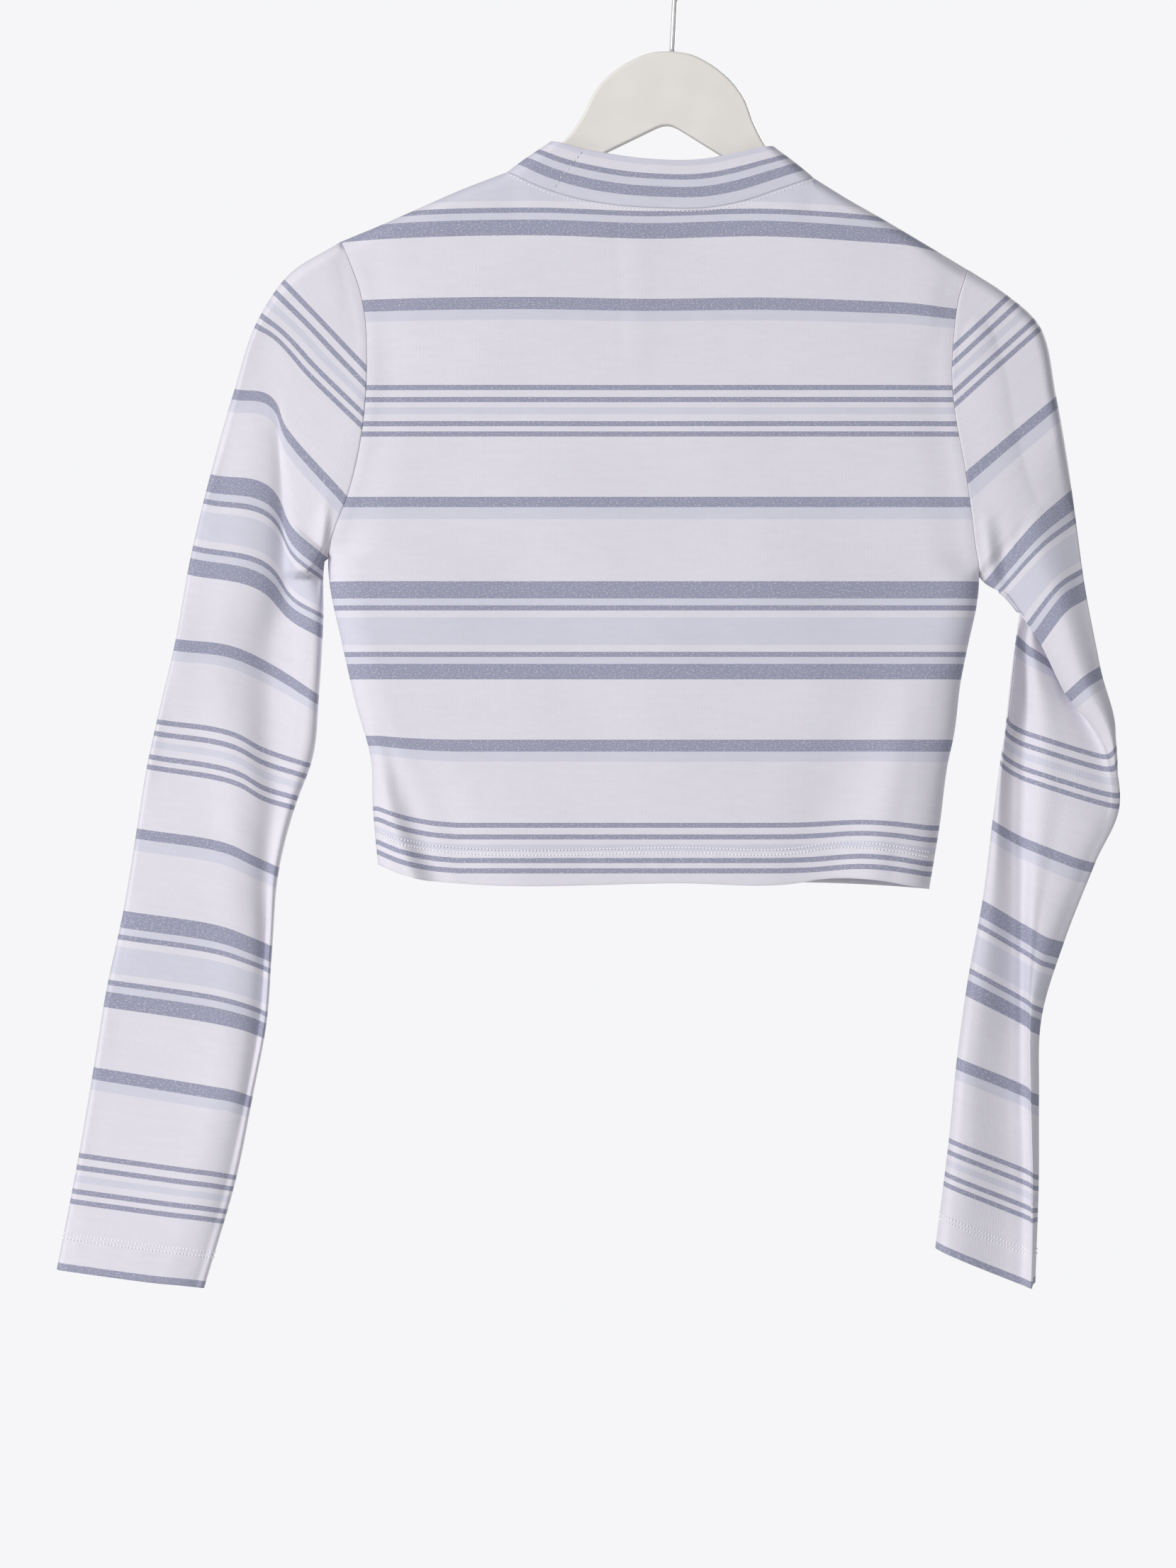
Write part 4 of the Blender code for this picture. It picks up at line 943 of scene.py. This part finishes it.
def jersey(name, bands, length, repeats, settings):
    """Striped single jersey: stripes by V, wales by U, courses by V, flecks in the coloured yarn, and painted
    shade in the grooves between the wales.
    """
    n = Nodes(name)
    place = n.add("ShaderNodeSeparateXYZ", {0: n.add("ShaderNodeUVMap", uv_map="cloth").outputs[0]})
    u, v = place.outputs[0], place.outputs[1]
    wale = n.math("PINGPONG", n.math("DIVIDE", u, settings.wale), 0.5)
    ragged = n.math("MULTIPLY_ADD", wale, 0.5 * settings.course, v)
    share = n.math("DIVIDE", ragged, length)
    if repeats:
        share = n.math("FRACT", share)
    yarn_at = n.add("ShaderNodeValToRGB", {0: share})
    ramp = yarn_at.color_ramp
    ramp.interpolation = "CONSTANT"
    ramp.elements.remove(ramp.elements[-1])
    # The fourth value says how much a yarn shows its flecks.
    yarns = {"white": (*settings.white, 0.0), "pale": (*settings.pale, 0.35), "slate": (*settings.slate, 1.0)}
    for i, (top, yarn) in enumerate(bands):
        stop = ramp.elements.new(top * MM / length) if i else ramp.elements[0]
        stop.color = yarns[yarn]
    # Flecks of undyed fibre in the coloured yarns, and the fine cloudiness of the white.
    fleck_at = n.vector(n.math("DIVIDE", u, 0.0012), n.math("DIVIDE", v, 0.0008))
    fleck = n.spread(n.noise(fleck_at, 1.0, 2.0, 0.6), 0.5, 0.68)
    fleck = n.math("MULTIPLY", fleck, n.math("MULTIPLY", yarn_at.outputs["Alpha"], 0.46))
    colour = n.mix(fleck, yarn_at.outputs["Color"], settings.white)
    cloud_at = n.vector(n.math("DIVIDE", u, 0.016), n.math("DIVIDE", v, 0.0035))
    cloud = n.spread(n.noise(cloud_at, 1.0, 4.0, 0.65), 0.3, 0.7, 0.982, 1.012)
    wide = n.spread(n.noise(n.vector(u, v), 17.0, 2.0), 0.3, 0.7, 0.985, 1.012)
    tone = n.math("MULTIPLY", cloud, wide)
    # Painted shade: the colour is darker in the grooves between the wales, where the bump sinks.
    wale_groove_shade = n.spread(wale, 0.0, 0.16, 0.93, 1.0)
    colour = n.toned(colour, n.math("MULTIPLY", tone, wale_groove_shade))
    # Each stitch is a small V: the courses lean one way and the other across every wale.
    lean = n.math("MULTIPLY_ADD", wale, 1.5, n.math("DIVIDE", v, settings.course))
    loops = n.math("SINE", n.math("MULTIPLY", lean, 2 * math.pi))
    knit = n.math("MULTIPLY_ADD", loops, 0.3, n.math("MULTIPLY", n.math("SQRT", wale), 1.1))
    fuzz = n.noise(n.vector(n.math("DIVIDE", u, 0.0006), n.math("DIVIDE", v, 0.0006)), 1.0, 2.0)
    height = n.math("MULTIPLY_ADD", fuzz, 0.5, knit)
    n.surface(colour=colour, roughness=0.92, normal=n.bump(height, 0.35, 0.00018),
              sheen=settings.sheen, sheen_roughness=0.45, specular=0.25)
    return n.material


def thread(colour):
    """Sewing thread: fine slanting twist along the stitches, with painted shade in the twist's grooves."""
    n = Nodes("sewing_thread")
    at = n.add("ShaderNodeTexCoord").outputs["Object"]
    twist = n.add("ShaderNodeTexWave", {"Vector": at, "Scale": 900.0, "Distortion": 1.0},
                  bands_direction="DIAGONAL")
    # Painted shade: the colour is darker where the twist's wave sinks, as in the bump.
    tone = n.spread(twist.outputs["Fac"], 0.0, 1.0, 0.92, 1.0)
    n.surface(colour=n.toned(colour, tone), roughness=0.6, sheen=0.2,
              normal=n.bump(twist.outputs["Fac"], 0.3, 0.00005))
    return n.material


def hanger_finish(colour):
    """Satin off-white moulding: a faint cloudiness, fine rubbing marks and slight orange peel."""
    n = Nodes("hanger_satin")
    at = n.add("ShaderNodeTexCoord").outputs["Object"]
    cloud = n.spread(n.noise(at, 45.0, 3.0), 0.3, 0.7, 0.975, 1.015)
    stretched = n.add("ShaderNodeMapping", {"Vector": at, "Scale": (1.0, 1.0, 9.0),
                                            "Rotation": (0.0, 0.6, 0.0)})
    rub = n.spread(n.noise(stretched.outputs[0], 160.0, 5.0, 0.7), 0.62, 0.74)
    tone = n.mix(n.math("MULTIPLY", rub, 0.35), n.toned(colour, cloud), (0.86, 0.85, 0.82))
    n.surface(colour=tone, roughness=n.spread(rub, 0.0, 1.0, 0.42, 0.55), specular=0.4,
              normal=n.bump(n.noise(at, 900.0, 2.0), 0.12, 0.0001))
    return n.material


def wire_finish(colour):
    """Drawn wire with a thin pale coating, a little uneven along its length."""
    n = Nodes("coated_wire")
    at = n.add("ShaderNodeTexCoord").outputs["Object"]
    uneven = n.noise(at, 320.0, 3.0)
    tone = n.spread(uneven, 0.3, 0.7, 0.9, 1.05)
    n.surface(colour=n.toned(colour, tone), roughness=n.spread(uneven, 0.3, 0.7, 0.28, 0.42),
              metallic=0.25, normal=n.bump(uneven, 0.1, 0.0001))
    return n.material


def floor_finish(colour):
    """Matt pale floor with the faintest cloudiness."""
    n = Nodes("pale_floor")
    at = n.add("ShaderNodeTexCoord").outputs["Object"]
    tone = n.spread(n.noise(at, 3.0, 3.0), 0.3, 0.7, 0.99, 1.0)
    n.surface(colour=n.toned(colour, tone), roughness=0.9)
    return n.material


# ---------------------------------------------------------------------------- settings and operators


def colour_property(name, description, value):
    """A colour that the panel shows."""
    return FloatVectorProperty(name=name, description=description, default=value, size=3, min=0, max=1,
                               subtype="COLOR")


class JerseySettings(bpy.types.PropertyGroup):
    """Yarns and gauge of the jersey"""

    white: colour_property("White yarn", "Ground colour of the jersey", (0.76, 0.735, 0.805))
    pale: colour_property("Pale yarn", "Colour of the pale stripes", (0.66, 0.652, 0.75))
    slate: colour_property("Slate yarn", "Colour of the dark stripes", (0.322, 0.328, 0.437))
    wale: FloatProperty(name="Wale", description="Width of one column of loops", default=0.0008,
                        min=0.0003, max=0.003, unit="LENGTH", precision=5)
    course: FloatProperty(name="Course", description="Height of one row of loops", default=0.00055,
                          min=0.0002, max=0.003, unit="LENGTH", precision=5)
    sheen: FloatProperty(name="Sheen", description="Strength of the soft bloom at grazing angles",
                         default=0.15, min=0, max=1, subtype="FACTOR")
    thread: colour_property("Thread", "Colour of the sewing thread", (0.96, 0.955, 0.98))


class HangerSettings(bpy.types.PropertyGroup):
    """Colours of the hanger"""

    body: colour_property("Body", "Colour of the hanger's body", (0.79, 0.755, 0.715))
    wire: colour_property("Wire", "Colour of the hook's coated wire", (0.66, 0.66, 0.66))


class StageSettings(bpy.types.PropertyGroup):
    """Backdrop, floor, lights and camera"""

    backdrop: colour_property("Backdrop", "Plain colour behind the garment", (0.922, 0.922, 0.938))
    floor: colour_property("Floor", "Colour of the floor", (0.9, 0.9, 0.91))
    key: FloatProperty(name="Key", description="Power of the large soft light", default=114.0, min=0,
                       max=500, unit="POWER")
    side: FloatProperty(name="Side", description="Power of the weaker light on the other side",
                        default=5.0, min=0, max=500, unit="POWER")
    fill: FloatProperty(name="Fill", description="Strength of the even light from all round",
                        default=0.33, min=0, max=3, subtype="FACTOR")
    distance: FloatProperty(name="Distance", description="From the camera to the garment", default=4.2,
                            min=0.5, max=10, unit="LENGTH")


def jersey_material(collar=False):
    """The garment's cloth, made once for the body and once for the collar's own bands."""
    name = "jersey_collar" if collar else "jersey_stripes"
    found = bpy.data.materials.get(name)
    if found:
        return found
    settings = bpy.context.scene.crop_top_jersey
    if collar:
        return jersey(name, COLLAR_BANDS, COLLAR_HEIGHT * MM, False, settings)
    return jersey(name, REPEAT, STRIPES, True, settings)


def thread_material():
    """The sewing thread, made once."""
    return bpy.data.materials.get("sewing_thread") or thread(bpy.context.scene.crop_top_jersey.thread)


def neck_edge(front):
    """The panel's edge along the neck seam, from corner to corner."""
    return body_surface(np.zeros(1), neck_shares(110), front)[0]


def hem_row(front, above):
    """A line across a panel, at a height above its hem."""
    share = np.linspace(0.012, 0.988, 500)
    low, high = (body_surface(np.full(1, row), share, front)[1] for row in (2.0, 1.9))
    rows = 2 - above / np.abs(low - high) * 0.1
    return body_surface(rows, share, front)[0]


def neck_row(front, below):
    """A line along the neck seam, at a distance below it."""
    edge = neck_edge(front)
    share = share_at(edge[:, 0])
    slope = np.gradient(edge[:, 2]) / np.gradient(edge[:, 0])
    below = below * np.minimum(np.hypot(1, slope), 2.5)
    rows = np.full(share.shape, 0.004)
    low = body_surface(rows, share, front)[1]
    top = body_surface(rows * 0, share, front)[1]
    line = body_surface(rows * below / np.maximum(low - top, 1e-3), share, front)[0]
    skipped = 25 if front else 6
    return line[skipped:-skipped]


def cuff_row(right, above):
    """A ring round a sleeve at a height above its cuff's edge."""
    if right:
        place = 1 + np.linspace(0, 3, 400)
        return right_surface(np.array([SLEEVE_END - above]), place)[0]
    place = np.linspace(0, 1, 200)
    at = np.array([SLEEVE_END - above])
    return np.concatenate([left_surface(at, place, True)[0][:0:-1], left_surface(at, place, False)[0]])


def sewn(name, row, kind, side):
    """Stitches of one kind along row(offset across), on the side that the cloth faces."""
    spacing, *size = kind
    points, tangents, normals = on_surface(row, spacing)
    return finish_piece(stitches(name, points, tangents, side * normals, *size), "jersey")


def twin_rows(name, row, hem, side):
    """The twin rows of a hem, whose row(height) runs at a height above the cloth's edge."""
    return [sewn(f"{name}_{i}", lambda offset, h=height: row(h + offset), HEM_STITCH, side)
            for i, height in ((1, hem - TWIN), (2, hem + TWIN))]


class CROPTOP_OT_panels(bpy.types.Operator):
    """Make the back and the front as sheets of striped jersey, with their turned hems"""

    bl_idname = "croptop.panels"
    bl_label = "Back and front"

    def execute(self, context):
        for front, size, area in ((False, (0.39, 0.45), 0.150), (True, (0.39, 0.45), 0.146)):
            name = "front" if front else "back"
            obj = finish_piece(body_panel(front, jersey_material()), "jersey", name)
            rows = twin_rows(f"{name}_hem_stitches", partial(hem_row, front), HEM, -1 if front else 1)
        return {"FINISHED"}


class CROPTOP_OT_sleeves(bpy.types.Operator):
    """Make the two long sleeves, with their long creases, and the stitching of their cuffs"""

    bl_idname = "croptop.sleeves"
    bl_label = "Sleeves"

    def execute(self, context):
        for right, make, size, area in ((False, left_sleeve, (0.25, 0.66), 0.115),
                                        (True, right_sleeve, (0.25, 0.66), 0.105)):
            name = "right" if right else "left"
            obj = finish_piece(make(jersey_material()), "jersey", f"sleeve_{name}")
            rows = twin_rows(f"{name}_cuff_stitches", partial(cuff_row, right), CUFF_HEM, -1 if right else 1)
        return {"FINISHED"}


class CROPTOP_OT_collar(bpy.types.Operator):
    """Make the doubled stand collar, the stitching along its seam and the join at its left back"""

    bl_idname = "croptop.collar"
    bl_label = "Collar"

    def execute(self, context):
        back, front = neck_edge(False), neck_edge(True)
        obj, base, top, out = collar(back, front, jersey_material(True))
        finish_piece(obj, "jersey", "collar")
        rows = [sewn("back_neck_stitches", lambda d: neck_row(False, 1.5 - d * 0.5), NECK_STITCH, 1),
                sewn("front_neck_stitches", lambda d: neck_row(True, 1.5 - d * 0.5), NECK_STITCH, -1)]
        join = int(np.argmin(np.abs(back[:, 0] - COLLAR_JOIN)))
        height = np.linspace(0.12, 0.9, 9)[:, None]
        run = top[join] - base[join]
        places = base[join] + height * run + 0.25 * out[join]
        runs, outs = (np.tile(way, (len(places), 1)) for way in (run, out[join]))
        loose = stitches("collar_join_stitches", places, runs, outs, *JOIN_STITCH)
        rows.append(finish_piece(loose, "jersey"))
        return {"FINISHED"}


class CROPTOP_OT_hanger(bpy.types.Operator):
    """Make the flat hanger with its rounded edges, and its round wire hook"""

    bl_idname = "croptop.hanger"
    bl_label = "Hanger"

    def execute(self, context):
        colours = context.scene.crop_top_hanger
        finish_piece(hanger(hanger_finish(colours.body)), "hanger_body", "hanger")
        finish_piece(hook(wire_finish(colours.wire)), "hook_wire", "hanger_hook")
        return {"FINISHED"}


def area_light(name, place, target, size, power):
    """A square soft light at place, turned towards target."""
    light = bpy.data.lights.new(name, "AREA")
    light.size, light.energy = size, power
    obj = bpy.data.objects.new(name, light)
    bpy.context.scene.collection.objects.link(obj)
    obj.location = place
    away = np.array(place, float) - np.array(target, float)
    flat = math.hypot(away[0], away[1])
    obj.rotation_euler = (math.atan2(flat, away[2]), 0, math.atan2(away[0], -away[1]))
    return obj


def studio(stage):
    """A plain backdrop as the camera sees it, and an even light for everything else."""
    world = bpy.data.worlds.new("studio")
    world.use_nodes = True
    nodes, links = world.node_tree.nodes, world.node_tree.links
    nodes.clear()
    seen, light = nodes.new("ShaderNodeBackground"), nodes.new("ShaderNodeBackground")
    seen.inputs[0].default_value = (*stage.backdrop, 1)
    light.inputs[0].default_value = (0.97, 0.98, 1.0, 1)
    light.inputs[1].default_value = stage.fill
    mix, path = nodes.new("ShaderNodeMixShader"), nodes.new("ShaderNodeLightPath")
    out = nodes.new("ShaderNodeOutputWorld")
    links.new(path.outputs["Is Camera Ray"], mix.inputs[0])
    links.new(light.outputs[0], mix.inputs[1])
    links.new(seen.outputs[0], mix.inputs[2])
    links.new(mix.outputs[0], out.inputs[0])
    return world


def floor_disc(stage):
    """A pale disc well below the garment."""
    turn = np.linspace(0, 2 * math.pi, 96, endpoint=False)
    radii = np.array(FLOOR_RADII, float)
    height = np.full((len(radii), len(turn)), -FLOOR_DROP)
    grid = np.stack([radii[:, None] * np.cos(turn), radii[:, None] * np.sin(turn), height], axis=-1)
    index = numbered(grid)
    faces = grid_faces(np.concatenate([index, index[:, :1]], axis=1)) + [tuple(index[0].tolist())]
    return add_mesh("floor", grid.reshape(-1, 3), faces, floor_finish(stage.floor))


class CROPTOP_OT_stage(bpy.types.Operator):
    """Make the camera, the soft studio lights, the plain backdrop and the pale floor"""

    bl_idname = "croptop.stage"
    bl_label = "Stage"

    def execute(self, context):
        scene, stage = context.scene, context.scene.crop_top_stage
        centre = np.array(VIEW_CENTRE)
        camera = bpy.data.cameras.new("camera")
        camera.sensor_width = 36.0
        camera.lens = camera.sensor_width * stage.distance / VIEW_HEIGHT
        obj = bpy.data.objects.new("camera", camera)
        scene.collection.objects.link(obj)
        obj.location = centre + [0, -stage.distance, 0]
        obj.rotation_euler = (math.pi / 2, 0, 0)
        scene.camera = obj
        area_light("key_light", (-2.6, -2.7, 0.8), centre, 1.2, stage.key)
        area_light("side_light", (2.3, -3.0, 0.1), centre, 1.5, stage.side)
        area_light("front_light", (1.5, 3.4, 0.8), centre, 1.5, stage.key * 0.8)
        scene.world = studio(stage)
        floor_disc(stage)
        scene.view_settings.view_transform = "Standard"
        return {"FINISHED"}


class CROPTOP_PT_panel(bpy.types.Panel):
    bl_label = "Crop top"
    bl_idname = "CROPTOP_PT_panel"
    bl_space_type = "VIEW_3D"
    bl_region_type = "UI"
    bl_category = "Crop top"

    def draw(self, context):
        layout = self.layout
        for group in (context.scene.crop_top_jersey, context.scene.crop_top_hanger,
                      context.scene.crop_top_stage):
            for key in group.__annotations__:
                layout.prop(group, key)
        for operator in OPERATORS:
            layout.operator(operator.bl_idname)


OPERATORS = (CROPTOP_OT_panels, CROPTOP_OT_sleeves, CROPTOP_OT_collar, CROPTOP_OT_hanger, CROPTOP_OT_stage)
GROUPS = (("crop_top_jersey", JerseySettings), ("crop_top_hanger", HangerSettings),
          ("crop_top_stage", StageSettings))


def register():
    for _, group in GROUPS:
        bpy.utils.register_class(group)
    for cls in OPERATORS + (CROPTOP_PT_panel,):
        bpy.utils.register_class(cls)
    for name, group in GROUPS:
        setattr(bpy.types.Scene, name, PointerProperty(type=group))


def unregister():
    for name, _ in GROUPS:
        delattr(bpy.types.Scene, name)
    for cls in (CROPTOP_PT_panel,) + OPERATORS[::-1]:
        bpy.utils.unregister_class(cls)
    for _, group in GROUPS[::-1]:
        bpy.utils.unregister_class(group)


def main():
    """Make everything."""
    register()
    bpy.ops.croptop.hanger()
    bpy.ops.croptop.panels()
    bpy.ops.croptop.sleeves()
    bpy.ops.croptop.collar()
    bpy.ops.croptop.stage()


if __name__ == "__main__":
    main()
